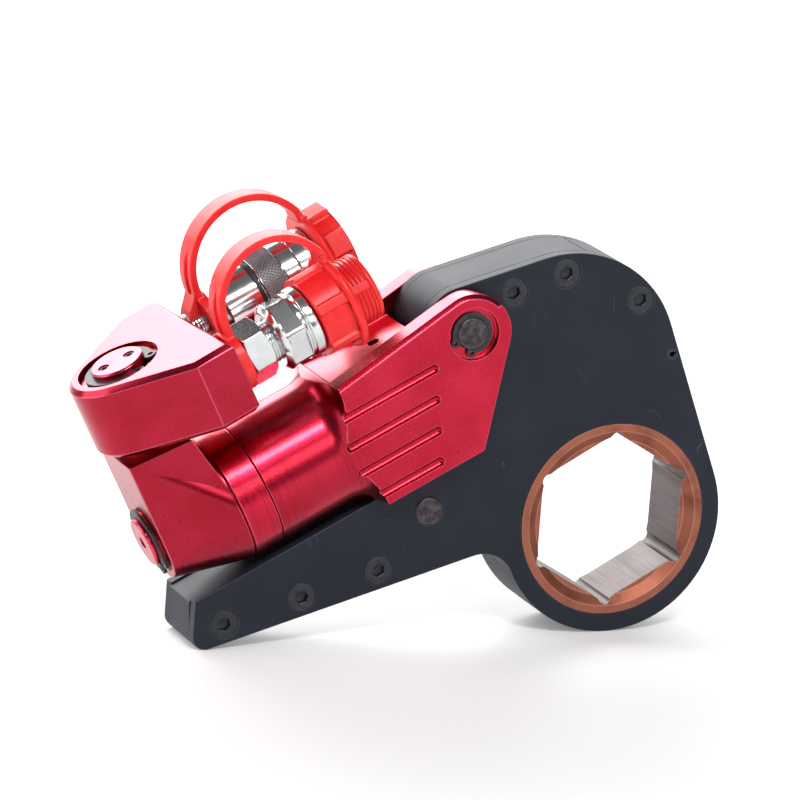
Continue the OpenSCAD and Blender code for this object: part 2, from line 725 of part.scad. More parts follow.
module end_cap() {
    groove = 1.6;
    color("#b5152f") stand() difference() {
        turned([
            [cap_rear_x, 0], [cap_rear_x, head_r - 0.6], [cap_rear_x + 0.6, head_r], [cap_seam_x - 0.6, head_r],
            [cap_seam_x, head_r - 0.6], [cap_seam_x, piston_r], [cap_seam_x + 0.2, piston_r],
            [cap_seam_x + 0.2, piston_r - groove], [cap_seam_x + 1.8, piston_r - groove],
            [cap_seam_x + 1.8, piston_r], [cap_seam_x + 2, piston_r], [cap_seam_x + 2, 0]
        ]);
        bar_x(head_z, post_r - 4, cap_rear_x - 1, cap_rear_x + 9.5);
    }
}
module end_cap_seal() {
    color("#1b1b1d") stand() translate([0, 0, head_z]) round_seal(cap_seam_x + 1, piston_r - 0.8, 0.75);
}
module piston() {
    mid = piston_back_x + piston_len / 2;
    color("#9a9ca1") stand() turned([
        [piston_back_x, 0], [piston_back_x, piston_r - 1], [piston_back_x + 1, piston_r], [mid - 2, piston_r],
        [mid - 2, piston_r - 2.4], [mid + 2, piston_r - 2.4], [mid + 2, piston_r], [piston_face_x - 1, piston_r],
        [piston_face_x, piston_r - 1], [piston_face_x, 0]
    ]);
}
module piston_seal() {
    mid = piston_back_x + piston_len / 2;
    color("#1b1b1d") stand() turned([
        [mid - 1.9, piston_r - 2.4], [mid - 1.9, piston_r - 0.2], [mid - 1.4, piston_r],
        [mid + 1.4, piston_r], [mid + 1.9, piston_r - 0.2], [mid + 1.9, piston_r - 2.4]
    ]);
}
module piston_rod() {
    color("#c4c6ca") stand() bar_x(head_z, rod_r, piston_face_x, rod_end_back_x);
}
// Flat end of the rod with a slot that lets the drive pin rise and fall on its arc
module rod_end() {
    y = band_y - 0.2;
    front = drive_pin_c.x + drive_pin_r + 5;
    rise = arm * (1 - cos(stroke / 2));
    shake = 0.25;
    color("#b3b5b9") stand() difference() {
        translate([rod_end_back_x, -y, rod_end_bottom])
            cube([front - rod_end_back_x, 2 * y, rod_end_top - rod_end_bottom]);
        for (z = [drive_pin_c.y - 0.3, drive_pin_c.y + rise + 0.3])
            bar_y([drive_pin_c.x, z], drive_pin_r + shake, -y - 1, y + 1);
        translate([drive_pin_c.x - drive_pin_r - shake, -y - 1, drive_pin_c.y - 0.3])
            cube([2 * (drive_pin_r + shake), 2 * y + 2, rise + 0.6]);
    }
}
module rod_gland() {
    seal_x = bore_end_x + gland_len / 2;
    color("#a8803f") stand() difference() {
        bar_x(head_z, gland_r, bore_end_x, bore_end_x + gland_len);
        bar_x(head_z, rod_r + run_fit, bore_end_x - 1, bore_end_x + gland_len + 1);
        bar_x(head_z, rod_r + 2, seal_x - 1.5, seal_x + 1.5);
    }
}
module rod_seal() {
    seal_x = bore_end_x + gland_len / 2;
    color("#1b1b1d") stand() difference() {
        bar_x(head_z, rod_r + 2, seal_x - 1.5, seal_x + 1.5);
        bar_x(head_z, rod_r + run_fit, seal_x - 2, seal_x + 2);
    }
}
module link_pin() {
    seat = head_out - pin_recess_d;
    groove = 0.6;
    end = seat + 1.8;
    half = [[end, 0], [end, pin_r - 0.5], [end - 0.4, pin_r], [seat + 1.2, pin_r], [seat + 1.2, pin_r - groove],
        [seat, pin_r - groove], [seat, pin_r]];
    other = [for (i = [len(half) - 1:-1:0]) [-half[i].x, half[i].y]];
    color("#55555a") stand() translate([pin_c.x, 0, pin_c.y]) rotate([90, 0, 0]) rotate_extrude()
        polygon([for (p = concat(half, other)) [p.y, p.x]]);
}
module pin_rings() {
    seat = head_out - pin_recess_d;
    color("#26282c") stand() for (side = [-1, 1])
        translate([pin_c.x, side * seat, pin_c.y]) rotate([-side * 90, 0, 0])
            linear_extrude(1.2) rotate(side * 147) circlip(pin_r - 0.6, pin_r + 1.9, 21);
}

// Lower swivel axis: a post on the end cap, carrying the knuckle
module lower_post() {
    neck = post_r - 2;
    seat_x = knuckle_rear_x - 0.7;
    seal_xs = [knuckle_rear_x + 6, knuckle_front_x - 4];
    color("#b5152f") stand() difference() {
        turned([
            [post_end_x, 0], [post_end_x, neck - 0.6], [post_end_x + 0.6, neck], [seat_x - ring_t, neck],
            [seat_x - ring_t, neck - 1.2], [seat_x, neck - 1.2], [seat_x, post_r], [cap_rear_x, post_r],
            [cap_rear_x, post_r - 4], [cap_rear_x + 9.5, post_r - 4], [cap_rear_x + 9.5, 0]
        ]);
        for (x = seal_xs) difference() {
            bar_x(head_z, post_r + 1, x - 1, x + 1);
            bar_x(head_z, post_r - 1.5, x - 2, x + 2);
        }
        bar_x(head_z, 2.5, post_end_x - 1, post_end_x + 6);
    }
}
module lower_post_seals() {
    color("#1b1b1d") stand() translate([0, 0, head_z])
        for (x = [knuckle_rear_x + 6, knuckle_front_x - 4]) round_seal(x, post_r - 0.76, 0.72);
}
module lower_post_ring() {
    color("#26282c") stand() translate([knuckle_rear_x - 0.7 - ring_t, 0, head_z]) rotate([0, 90, 0])
        linear_extrude(ring_t) rotate(-34) circlip(post_r - 3.2, post_r + 1.2, 12);
}
module set_screw(r, h) {
    difference() {
        cylinder(r = r, h = h);
        translate([0, 0, h - r]) cylinder(r = r * 0.6, h = r + 1, $fn = 6);
    }
}
module lower_post_screw() {
    color("#26282c") stand() translate([post_end_x + 6, 0, head_z]) rotate([0, -90, 0]) set_screw(2.5, 5.4);
}
module lower_swivel() {
    color("#b5152f") stand() difference() {
        union() {
            intersection() {
                union() {
                    bar_x(head_z, knuckle_half_w, knuckle_rear_x, knuckle_front_x);
                    translate([knuckle_rear_x, -knuckle_half_w, head_z])
                        cube([knuckle_len, 2 * knuckle_half_w, knuckle_rise]);
                }
                translate([knuckle_rear_x, -head_r, head_z - head_r]) cube([knuckle_len, 2 * head_r, 4 * head_r]);
            }
            turned([
                [knuckle_front_x - 6, 0], [knuckle_front_x - 6, knuckle_half_w], [knuckle_front_x, head_r],
                [knuckle_front_x + flange_t, head_r], [knuckle_front_x + flange_t, 0]
            ]);
            translate([post_x, 0, knuckle_top - 1]) cylinder(r = collar_r, h = collar_h + 1);
        }
        bar_x(head_z, post_r + run_fit, knuckle_rear_x - 1, cap_rear_x + 1);
        translate([post_x, 0, knuckle_top - 13]) cylinder(r = post_r - 2, h = 40);
    }
}
module upper_post() {
    neck = post_r - 1.2;
    ring_z = recess_floor + 0.4;
    color("#b5152f") stand() translate([post_x, 0, 0]) difference() {
        rotate_extrude() polygon([
            [0, knuckle_top - 13], [post_r - 2, knuckle_top - 13], [post_r - 2, collar_top], [post_r, collar_top],
            [post_r, ring_z], [neck - 1.2, ring_z], [neck - 1.2, ring_z + ring_t], [neck, ring_z + ring_t],
            [neck, post_top - 0.6], [neck - 0.6, post_top], [0, post_top]
        ]);
        for (z = [block_bottom + 5, recess_floor - 5]) translate([0, 0, z - 1]) difference() {
            cylinder(r = post_r + 1, h = 2);
            translate([0, 0, -1]) cylinder(r = post_r - 1.5, h = 4);
        }
        for (s = [-1, 1]) translate([s * post_r * 0.46, 0, post_top - 5]) cylinder(r = 2.3, h = 6);
    }
}
module upper_post_seals() {
    color("#1b1b1d") stand() translate([post_x, 0, 0]) for (z = [block_bottom + 5, recess_floor - 5])
        translate([0, 0, z]) rotate_extrude() translate([post_r - 0.76, 0]) circle(0.72, $fn = 24);
}
module upper_post_ring() {
    color("#c9cbcf") stand() translate([post_x, 0, recess_floor + 0.4])
        linear_extrude(ring_t) rotate(-47) circlip(post_r - 2.4, post_r + 2, 18);
}
module upper_post_screws() {
    color("#26282c") stand() translate([post_x, 0, post_top - 5])
        for (s = [-1, 1]) translate([s * post_r * 0.46, 0, 0]) set_screw(2.3, 4.5);
}

// Upper swivel: a flat block that widens from its round end to the two ports
module swivel_plan(depth) {
    w = block_half_w - depth;
    r = block_end_r - depth;
    face = block_face_u - depth;
    bend = [block_face_u - block_side_len, -w];
    n = side_normal([0, 0], r, bend, 0);
    circle(r);
    polygon([
        [0, 0], r * n, bend, [face, -w], [face, w], [bend.x, w], [r * n.x, -r * n.y]
    ]);
}
module upper_swivel() {
    color("#b5152f") stand() on_swivel() difference() {
        hull() {
            translate([0, 0, block_bottom]) linear_extrude(block_h) swivel_plan(block_chamfer);
            translate([0, 0, block_bottom + block_chamfer])
                linear_extrude(block_h - 2 * block_chamfer) swivel_plan(0);
        }
        translate([0, 0, block_bottom - 1]) cylinder(r = post_r + run_fit, h = block_h + 2);
        translate([0, 0, recess_floor]) cylinder(r = post_recess_r, h = post_recess_d + 1);
        for (s = [-1, 1]) translate([0, s * coupler_half_gap, 0])
            bar_x(coupler_z, nipple_r, block_face_u - 14, block_face_u + 1);
    }
}

// Couplers, on lines that leave the upper swivel's face
module on_port(side) {
    stand() on_swivel() translate([0, side * coupler_half_gap, coupler_z]) children();
}
module turned_u(stations) {
    turned(stations, 0, 0);
}
module nipple(side, hex_from) {
    crown = nipple_af / 2 / cos(30);
    flat = nipple_af / 2;
    hex_to = hex_from + nipple_hex_len;
    color("#c3c6ca") on_port(side) {
        rotate([nipple_turn, 0, 0]) intersection() {
            hex_prism_x(nipple_af, hex_from, hex_to);
            turned_u([
                [hex_from, 0], [hex_from, flat], [hex_from + 1, crown + 0.2], [hex_to - 1, crown + 0.2],
                [hex_to, flat], [hex_to, 0]
            ]);
        }
        bar_x(0, nipple_r, block_face_u - 14, hex_from + 1);
        bar_x(0, nipple_r, hex_to - 1, body_a_u);
    }
}
module nipple_a() { nipple(-1, nipple_u); }
module nipple_b() { nipple(1, hex_b_u); }
module poppet_bore(end_u) {
    bar_x(0, poppet_r + run_fit, end_u - poppet_len - poppet_travel - 1, end_u + 1);
}
// Plain coupler: wrench flats on a turned body
module coupler_a() {
    r = coupler_a_r;
    flat = r * 0.9;
    flat_from = body_a_u + 2.6;
    flat_to = body_a_end - 6.4;
    color("#c9ccd0") on_port(-1) difference() {
        turned_u([
            [body_a_u, 0], [body_a_u, r - 2.5], [body_a_u + 2, r], [body_a_end - 6, r], [body_a_end - 5.4, r - 0.8],
            [body_a_end - 4.6, r - 0.8], [body_a_end - 4, r + 0.4], [body_a_end - 0.6, r + 0.4],
            [body_a_end, r - 0.2], [body_a_end, spigot_r], [spigot_a_end - 0.8, spigot_r],
            [spigot_a_end, spigot_r - 0.8], [spigot_a_end, 0]
        ]);
        for (a = [46:60:346]) rotate([a, 0, 0]) translate([flat_from, -r, flat]) cube([flat_to - flat_from, 2 * r, r]);
        poppet_bore(spigot_a_end);
    }
}
// Sleeved coupler: a plain body with a knurled sleeve that turns on it
module coupler_b() {
    r = coupler_b_r;
    shell = r + 1;
    color("#c9ccd0") on_port(1) difference() {
        turned_u([
            [body_b_u, 0], [body_b_u, r - 0.5], [body_b_u + 0.5, r], [ring_b_u, r], [ring_b_u, r - 1],
            [ring_b_u + lock_ring_t, r - 1], [ring_b_u + lock_ring_t, r], [collar_b_u, r], [collar_b_u, shell],
            [collar_b_u + 6, shell], [collar_b_u + 6.2, shell - 0.2], [collar_b_u + 6.5, shell - 0.2],
            [collar_b_u + 6.7, shell], [cap_b_u - face_gap - 0.6, shell], [cap_b_u - face_gap, shell - 0.6],
            [cap_b_u - face_gap, spigot_r], [spigot_b_end - 0.8, spigot_r], [spigot_b_end, spigot_r - 0.8],
            [spigot_b_end, 0]
        ]);
        poppet_bore(spigot_b_end);
    }
}
module lock_ring_b() {
    color("#1b1b1d") on_port(1) difference() {
        bar_x(0, coupler_b_r + 0.6, ring_b_u, ring_b_u + lock_ring_t);
        bar_x(0, coupler_b_r - 1, ring_b_u - 1, ring_b_u + 3);
    }
}
module knurled_sleeve_b() {
    color("#babdc2") on_port(1) difference() {
        turned_u([
            [sleeve_u, 0], [sleeve_u, sleeve_r - 0.6], [sleeve_u + 0.6, sleeve_r],
            [sleeve_u + sleeve_len - 0.6, sleeve_r], [sleeve_u + sleeve_len, sleeve_r - 0.6], [sleeve_u + sleeve_len, 0]
        ]);
        bar_x(0, coupler_b_r + run_fit, sleeve_u - 1, sleeve_u + sleeve_len + 1);
    }
}
module poppet(end_u) {
    turned_u([
        [end_u - poppet_len, 0], [end_u - poppet_len, poppet_r - 0.4], [end_u - poppet_len + 0.4, poppet_r],
        [end_u - 0.4, poppet_r], [end_u, poppet_r - 0.4], [end_u, 0]
    ]);
}
module poppet_a() { color("#9ea1a6") on_port(-1) poppet(spigot_a_end); }
module poppet_b() { color("#9ea1a6") on_port(1) poppet(spigot_b_end); }

// Dust caps, each with a tab where its strap joins the flange
module cap_tab(u) {
    translate([u, -strap_w / 2, cap_flange_r - 2]) cube([strap_t, strap_w, 4]);
}
module cap_a() {
    flange_end = cap_a_flange_u + cap_flange_t;
    rib_r = cap_r + cap_rib_h;
    rib_from = cap_r - cap_wall / 3;
    color("#e0261c") on_port(-1) difference() {
        union() {
            turned_u([
                [cap_a_u, 0], [cap_a_u, cap_r], [cap_a_flange_u, cap_r], [cap_a_flange_u, cap_flange_r - 0.8],
                [cap_a_flange_u + 0.8, cap_flange_r], [flange_end - 0.8, cap_flange_r],
                [flange_end, cap_flange_r - 0.8], [flange_end, cap_a_thread_r], [cap_a_end - 1, cap_a_thread_r],
                [cap_a_end, cap_a_thread_r - 1], [cap_a_end, 0]
            ]);
            for (a = [0:60:300]) rotate([a + cap_rib_turn, 0, 0])
                translate([cap_a_u, -cap_rib_w / 2, rib_from]) cube([cap_a_skirt + 1, cap_rib_w, rib_r - rib_from]);
            cap_tab(cap_a_flange_u);
        }
        bar_x(0, cap_bore_r, cap_a_u - 1, spigot_a_end + face_gap);
    }
}
module cap_b() {
    body_u = cap_b_u + cap_flange_t;
    grip_r = cap_r + cap_grip_h;
    color("#e0261c") on_port(1) difference() {
        union() {
            turned_u([
                [cap_b_u, 0], [cap_b_u, cap_flange_r - 0.8], [cap_b_u + 0.8, cap_flange_r],
                [body_u - 0.8, cap_flange_r], [body_u, cap_flange_r - 0.8], [body_u, cap_r],
                [cap_b_end - 1, cap_r], [cap_b_end, cap_r - 1], [cap_b_end, 0]
            ]);
            for (a = [0:60:300]) rotate([a + cap_rib_turn, 0, 0])
                translate([body_u - 0.5, -cap_grip_w / 2, 0]) cube([cap_b_body - 0.5, cap_grip_w, grip_r]);
            cap_tab(tab_b_u);
        }
        bar_x(0, cap_bore_r, cap_b_u - 1, cap_b_end - cap_wall);
    }
}
// Moulded strap from the ring behind a coupler, arching over to a cap's flange
module strap(side, ring_u, leg_u, tab_u) {
    ring_out = nipple_af / 2 + 1.5;
    foot = cap_flange_r + 2.05;
    low = nipple_r + 1;
    top = strap_rise - foot;
    span = tab_u - leg_u;
    out_r = span + top - sqrt(2 * span * top);
    mid = [leg_u + out_r, strap_rise - out_r];
    right = mid.x + out_r;
    color("#e0261c") on_port(side) {
        difference() {
            bar_x(0, ring_out, ring_u, ring_u + strap_ring_t);
            bar_x(0, nipple_r, ring_u - 1, ring_u + strap_ring_t + 1);
        }
        slab(-strap_w / 2, strap_w / 2) difference() {
            union() {
                translate(mid) circle(out_r, $fn = 96);
                translate([leg_u, low]) square([right - leg_u, mid.y - low]);
            }
            translate(mid) circle(out_r - strap_t, $fn = 96);
            translate([leg_u + strap_t, low - 1]) square([right - leg_u - 2 * strap_t, mid.y - low + 1]);
            translate([mid.x, low - 2 * out_r]) square([2 * out_r, 2 * out_r + foot - low]);
            translate([leg_u - 1, low - 2 * out_r]) square([2 * out_r + 2, 2 * out_r]);
        }
    }
}
module strap_a() { strap(-1, strap_ring_a_u, strap_ring_a_u + strap_ring_t - strap_t, cap_a_flange_u + strap_t); }
module strap_b() { strap(1, strap_ring_b_u, strap_ring_b_u, tab_b_u + strap_t); }

side_plate_front();
side_plate_rear();
tail_block();
edge_shroud();
top_spacer();
plate_screws_front();
plate_screws_rear();
holding_pawl_pin();
stop_pin();
ratchet_wheel();
crank_plate_front();
crank_plate_rear();
drive_pin();
pawl_guide();
drive_pawl();
pawl_springs();
holding_pawl();
holding_spring();
cylinder_body();
end_cap();
end_cap_seal();
piston();
piston_seal();
piston_rod();
rod_end();
rod_gland();
rod_seal();
link_pin();
pin_rings();
lower_post();
lower_post_seals();
lower_post_ring();
lower_post_screw();
lower_swivel();
upper_post();
upper_post_seals();
upper_post_ring();
upper_post_screws();
upper_swivel();
nipple_a();
coupler_a();
poppet_a();
cap_a();
strap_a();
nipple_b();
coupler_b();
lock_ring_b();
knurled_sleeve_b();
poppet_b();
cap_b();
strap_b();
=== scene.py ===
import bpy
import bmesh
import json
import math
from mathutils import Matrix, Vector

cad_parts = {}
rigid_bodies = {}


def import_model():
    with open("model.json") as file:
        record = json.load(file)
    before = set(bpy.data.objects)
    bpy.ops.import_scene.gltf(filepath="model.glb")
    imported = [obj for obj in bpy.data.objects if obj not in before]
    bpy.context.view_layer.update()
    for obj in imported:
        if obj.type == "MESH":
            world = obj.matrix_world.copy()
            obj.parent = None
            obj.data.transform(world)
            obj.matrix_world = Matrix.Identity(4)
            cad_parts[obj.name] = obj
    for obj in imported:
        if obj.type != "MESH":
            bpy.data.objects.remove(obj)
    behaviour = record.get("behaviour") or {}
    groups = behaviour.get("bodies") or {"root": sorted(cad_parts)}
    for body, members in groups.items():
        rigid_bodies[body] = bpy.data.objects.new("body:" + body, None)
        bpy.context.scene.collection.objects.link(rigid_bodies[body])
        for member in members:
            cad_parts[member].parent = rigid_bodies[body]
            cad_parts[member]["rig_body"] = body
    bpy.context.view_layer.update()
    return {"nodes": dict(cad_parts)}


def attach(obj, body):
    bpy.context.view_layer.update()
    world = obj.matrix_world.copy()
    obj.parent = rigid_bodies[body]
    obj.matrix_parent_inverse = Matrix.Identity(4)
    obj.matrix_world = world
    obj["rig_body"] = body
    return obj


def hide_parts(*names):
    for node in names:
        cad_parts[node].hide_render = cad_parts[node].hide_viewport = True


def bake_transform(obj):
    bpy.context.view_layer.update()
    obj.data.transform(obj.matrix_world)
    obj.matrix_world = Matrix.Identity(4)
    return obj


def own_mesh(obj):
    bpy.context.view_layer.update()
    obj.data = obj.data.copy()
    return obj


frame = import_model()
nodes = frame["nodes"]
mm = 0.001
print("frame loaded:", len(nodes), "nodes")

# how the tool stands, and where the two hose ports leave the upper swivel
stance = {"tilt": 28.0, "postX": -151.7, "portZ": 141.0, "portGap": 24.5, "yaw": 3.0, "headZ": 83.5,
        "blockX": -83.0}
toolToRow = Matrix.Rotation(math.radians(-stance["tilt"]), 4, "Y")
postStand = Matrix.Translation((stance["postX"], 0, 0)) @ Matrix.Rotation(math.radians(-90), 4, "Y")


def portToRow(side):
    # port frame: x runs along the coupler, z up from its axis, in millimetres
    return (Matrix.Scale(mm, 4) @ toolToRow @ Matrix.Translation((stance["postX"], 0, 0))
            @ Matrix.Rotation(math.radians(stance["yaw"]), 4, "Z")
            @ Matrix.Translation((0, side * stance["portGap"], stance["portZ"])))


def show(name, data):
    # a new object in the scene
    holder = bpy.data.objects.new(name, data)
    bpy.context.scene.collection.objects.link(holder)
    return holder


def meshOf(name, bm):
    # a new mesh from a bmesh, which is used up
    mesh = bpy.data.meshes.new(name)
    bm.to_mesh(mesh)
    bm.free()
    return mesh


# view and light
view = {"place": (-0.985, -2.0822, 0.6298), "target": (-0.088, 0.0, 0.047), "roll": 4.35, "lens": 270.0,
        "sensor": 36.0, "clip": 30.0}


def setCamera():
    lens = bpy.data.cameras.new("viewCamera")
    lens.lens = view["lens"]
    lens.sensor_width = view["sensor"]
    lens.clip_end = view["clip"]
    camera = show("viewCamera", lens)
    eye = Vector(view["place"])
    ahead = (Vector(view["target"]) - eye).normalized()
    right = ahead.cross(Vector((0, 0, 1))).normalized()
    up = right.cross(ahead)
    turn = math.radians(view["roll"])
    sideways = math.cos(turn) * right + math.sin(turn) * up
    upwards = math.cos(turn) * up - math.sin(turn) * right
    pose = Matrix((sideways, upwards, -ahead)).transposed().to_4x4()
    pose.translation = eye
    camera.matrix_world = pose
    bpy.context.scene.camera = camera


studio = {
    "backPanel": {"place": (0.0, 1.9, 0.85), "size": (3.8, 1.3), "power": 50.0},
    "keyBox": {"place": (-0.26, -0.95, 1.10), "size": (0.60, 0.20), "power": 11.0},
    "leftPanel": {"place": (-1.7, 0.35, 0.55), "size": (1.3, 1.2), "power": 17.0},
    "floorWash": {"place": (-0.2, 1.55, 0.95), "size": (1.6, 0.5), "power": 12.0, "aim": (-0.15, 0.75, -0.05)},
    "frontWash": {"place": (0.15, -1.95, 0.85), "size": (1.6, 0.5), "power": 8.0, "aim": (0.0, -0.35, -0.05)},
    "frontFill": {"place": (0.95, -1.55, 0.20), "size": (1.1, 0.9), "power": 3.5},
}
roomSpec = {"worldLevel": 0.15, "aim": (-0.09, 0.0, 0.05), "floorZ": -46.5 * mm, "floorHalf": 6,
            "floorGlow": 0.16, "mottle": (6.0, 3.0, 0.6), "rough": 0.55}


def setStudio():
    world = bpy.data.worlds.new("softStudio")
    bpy.context.scene.world = world
    world.use_nodes = True
    sky = world.node_tree.nodes["Background"]
    sky.inputs[0].default_value = (1.0, 1.0, 1.0, 1.0)
    sky.inputs[1].default_value = roomSpec["worldLevel"]
    for name, spec in studio.items():
        lamp = bpy.data.lights.new(name, "AREA")
        lamp.shape = "RECTANGLE"
        lamp.size, lamp.size_y = spec["size"]
        lamp.energy = spec["power"]
        holder = show(name, lamp)
        holder.location = spec["place"]
        aim = Vector(spec.get("aim", roomSpec["aim"])) - Vector(spec["place"])
        holder.rotation_euler = aim.to_track_quat("-Z", "Y").to_euler()
        holder.visible_camera = False
    bpy.context.scene.view_settings.view_transform = "Standard"


# finishes, whose fine bumps share one reach in metres
fineReach = 0.00010


class Wire:
    # a socket that can be used in sums
    def __init__(self, finish, socket):
        self.finish = finish
        self.socket = socket

    def sum(self, operation, first, second):
        return self.finish.add("ShaderNodeMath", {"operation": operation}, {0: first, 1: second})

    def __add__(self, other): return self.sum("ADD", self, other)
    def __radd__(self, other): return self.sum("ADD", other, self)
    def __sub__(self, other): return self.sum("SUBTRACT", self, other)
    def __rsub__(self, other): return self.sum("SUBTRACT", other, self)
    def __mul__(self, other): return self.sum("MULTIPLY", self, other)
    def __rmul__(self, other): return self.sum("MULTIPLY", other, self)


class Finish:
    def __init__(self, name, fixed):
        self.material = bpy.data.materials.new(name)
        self.material.use_nodes = True
        self.tree = self.material.node_tree
        self.shader = self.tree.nodes["Principled BSDF"]
        for key, value in fixed.items():
            self.shader.inputs[key].default_value = value

    def add(self, kind, settings=None, inputs=None, out=0):
        node = self.tree.nodes.new(kind)
        for key, value in (settings or {}).items():
            setattr(node, key, value)
        for key, value in (inputs or {}).items():
            if isinstance(value, Wire):
                self.tree.links.new(value.socket, node.inputs[key])
            else:
                node.inputs[key].default_value = value
        return Wire(self, node.outputs[out])

    def feed(self, key, wire):
        self.tree.links.new(wire.socket, self.shader.inputs[key])

    def toolPoint(self, stretch=(1.0, 1.0, 1.0)):
        # place along the tool in millimetres, then stretched for streaks
        where = self.add("ShaderNodeTexCoord", out=3)
        level = self.add("ShaderNodeMapping", {}, {
            0: where, 2: (0.0, math.radians(stance["tilt"]), 0.0), 3: (1 / mm, 1 / mm, 1 / mm)})
        if stretch == (1.0, 1.0, 1.0):
            return level
        return self.add("ShaderNodeVectorMath", {"operation": "MULTIPLY"}, {0: level, 1: stretch})

    def noise(self, point, scale, detail=2.0, rough=0.5):
        return self.add("ShaderNodeTexNoise", {}, {"Vector": point, "Scale": scale, "Detail": detail,
                "Roughness": rough})

    def ease(self, wire, low, high, toLow=0.0, toHigh=1.0):
        return self.add("ShaderNodeMapRange", {"interpolation_type": "SMOOTHSTEP"}, {
            0: wire, 1: low, 2: high, 3: toLow, 4: toHigh})

    def mix(self, mask, first, second):
        return self.add("ShaderNodeMix", {"data_type": "RGBA"}, {0: mask, 6: first, 7: second}, out=2)

    def bump(self, height, strength, reach=fineReach):
        return self.add("ShaderNodeBump", {}, {"Strength": strength, "Distance": reach, "Height": height})

    def edge(self):
        return self.add("ShaderNodeAttribute", {"attribute_name": "edge"}, out=2)

    def axes(self, point):
        split = self.tree.nodes.new("ShaderNodeSeparateXYZ")
        self.tree.links.new(point.socket, split.inputs[0])
        return [Wire(self, split.outputs[i]) for i in range(3)]

    def facing(self):
        # how far the surface turns towards the tool's side
        normal = self.add("ShaderNodeNewGeometry", out=1)
        return self.add("ShaderNodeMath", {"operation": "ABSOLUTE"}, {0: self.axes(normal)[1]})


def rgb(red, green, blue):
    return (red, green, blue, 1.0)


blackSpec = {"deep": rgb(0.0060, 0.0082, 0.0165), "worn": rgb(0.0130, 0.0165, 0.0290),
        "rim": rgb(0.10, 0.12, 0.165),
             "band": rgb(0.045, 0.052, 0.066), "level": 0.27, "rough": 0.34}


def blackOxide():
    finish = Finish("blackOxide", {"Specular IOR Level": blackSpec["level"], "Metallic": 0.0})
    point = finish.toolPoint()
    cloud = finish.noise(point, 0.035, 4.0, 0.6)
    grain = finish.noise(point, 1.6, 3.0, 0.7)
    # lines left by the wheel along the edge band
    drawn = finish.noise(finish.toolPoint((0.035, 3.2, 0.035)), 1.0, 3.0, 0.6)
    side = finish.facing()
    band = 1.0 - finish.ease(side, 0.3, 0.7)
    hair = finish.noise(finish.toolPoint((0.10, 0.10, 0.035)), 1.0, 1.5)
    scratch = finish.ease(finish.add("ShaderNodeMath", {"operation": "ABSOLUTE"}, {0: hair - 0.5}), 0.0, 0.006,
            1.0, 0.0)
    scratch = scratch * finish.ease(finish.noise(point, 0.055, 1.0), 0.60, 0.70)
    colour = finish.mix(finish.ease(cloud, 0.35, 0.75) * 0.7 + grain * 0.3, blackSpec["deep"],
            blackSpec["worn"])
    colour = finish.mix(finish.edge() * finish.ease(cloud, 0.2, 0.7, 0.35, 1.0) * 0.4, colour, blackSpec["rim"])
    colour = finish.mix(scratch * 0.55, colour, blackSpec["rim"])
    colour = finish.mix(band * finish.ease(drawn, 0.3, 0.8) * 0.6, colour, blackSpec["band"])
    finish.feed("Base Color", colour)
    finish.feed("Roughness", blackSpec["rough"] + cloud * 0.10 + grain * 0.05 + band * (0.10 - drawn * 0.06))
    finish.feed("Normal", finish.bump(grain * 0.35 + band * drawn, 0.16))
    return finish.material


redSpec = {"bright": rgb(0.62, 0.014, 0.050), "deep": rgb(0.52, 0.006, 0.030), "rim": rgb(0.92, 0.22, 0.34),
           "ring": rgb(0.22, 0.002, 0.010), "pit": rgb(0.09, 0.002, 0.008),
           "coat": 0.26, "milled": 0.25, "turned": 0.15}


def redAnodised(name, turnedTo=None, along=0, depth=1.0):
    # turnedTo: pieces behind this place along the tool were finished on a lathe
    finish = Finish(name, {"Coat Weight": redSpec["coat"], "Coat Roughness": 0.16, "Coat IOR": 1.55,
            "Metallic": 1.0})
    point = finish.toolPoint()
    x = finish.axes(point)[along]
    cloud = finish.noise(point, 0.045, 3.0, 0.55)
    satin = finish.noise(point, 2.2, 2.0, 0.6)
    stretch = [0.02, 0.02, 0.02]
    stretch[along] = 1.9
    rings = finish.noise(finish.toolPoint(tuple(stretch)), 1.0, 4.0, 0.65)
    brushed = finish.noise(finish.toolPoint((0.06, 0.06, 2.4)), 1.0, 3.0, 0.6)
    if turnedTo is None:
        turned = None
        rough = redSpec["milled"] + cloud * 0.06 - 0.03 + satin * 0.05
        height = satin * 0.3 + brushed * 0.6
    else:
        turned = finish.ease(x, turnedTo - 0.6, turnedTo + 0.6, 1.0, 0.0)
        rough = redSpec["milled"] + satin * 0.05 - turned * (redSpec["milled"] - redSpec["turned"])
        rough = rough + turned * rings * 0.12
        height = satin * 0.15 + brushed * 0.15 * (1.0 - turned) + turned * rings * 6.0
    pits = finish.ease(finish.add("ShaderNodeTexVoronoi", {"feature": "F1"}, {"Vector": point, "Scale": 0.28}),
            0.06, 0.13, 1.0, 0.0)
    pits = pits * finish.ease(finish.noise(point, 0.08, 1.0), 0.50, 0.60)
    low, high = ([c * depth for c in redSpec[k][:3]] + [1.0] for k in ("deep", "bright"))
    colour = finish.mix(finish.ease(cloud, 0.3, 0.7), low, high)
    if turned is not None:
        colour = finish.mix(turned * finish.ease(rings, 0.42, 0.66) * 0.38, colour, redSpec["ring"])
    colour = finish.mix(pits * 0.75, colour, redSpec["pit"])
    colour = finish.mix(finish.edge() * 0.28, colour, redSpec["rim"])
    finish.feed("Base Color", colour)
    finish.feed("Roughness", rough + pits * 0.2)
    finish.feed("Normal", finish.bump(height, 0.22 if turnedTo and turnedTo > 0 else 0.13))
    return finish.material


copperSpec = {"face": rgb(0.370, 0.128, 0.082), "stain": rgb(0.190, 0.060, 0.045),
        "wall": rgb(0.190, 0.166, 0.166),
              "wallDark": rgb(0.115, 0.096, 0.094), "rim": rgb(0.70, 0.42, 0.32)}


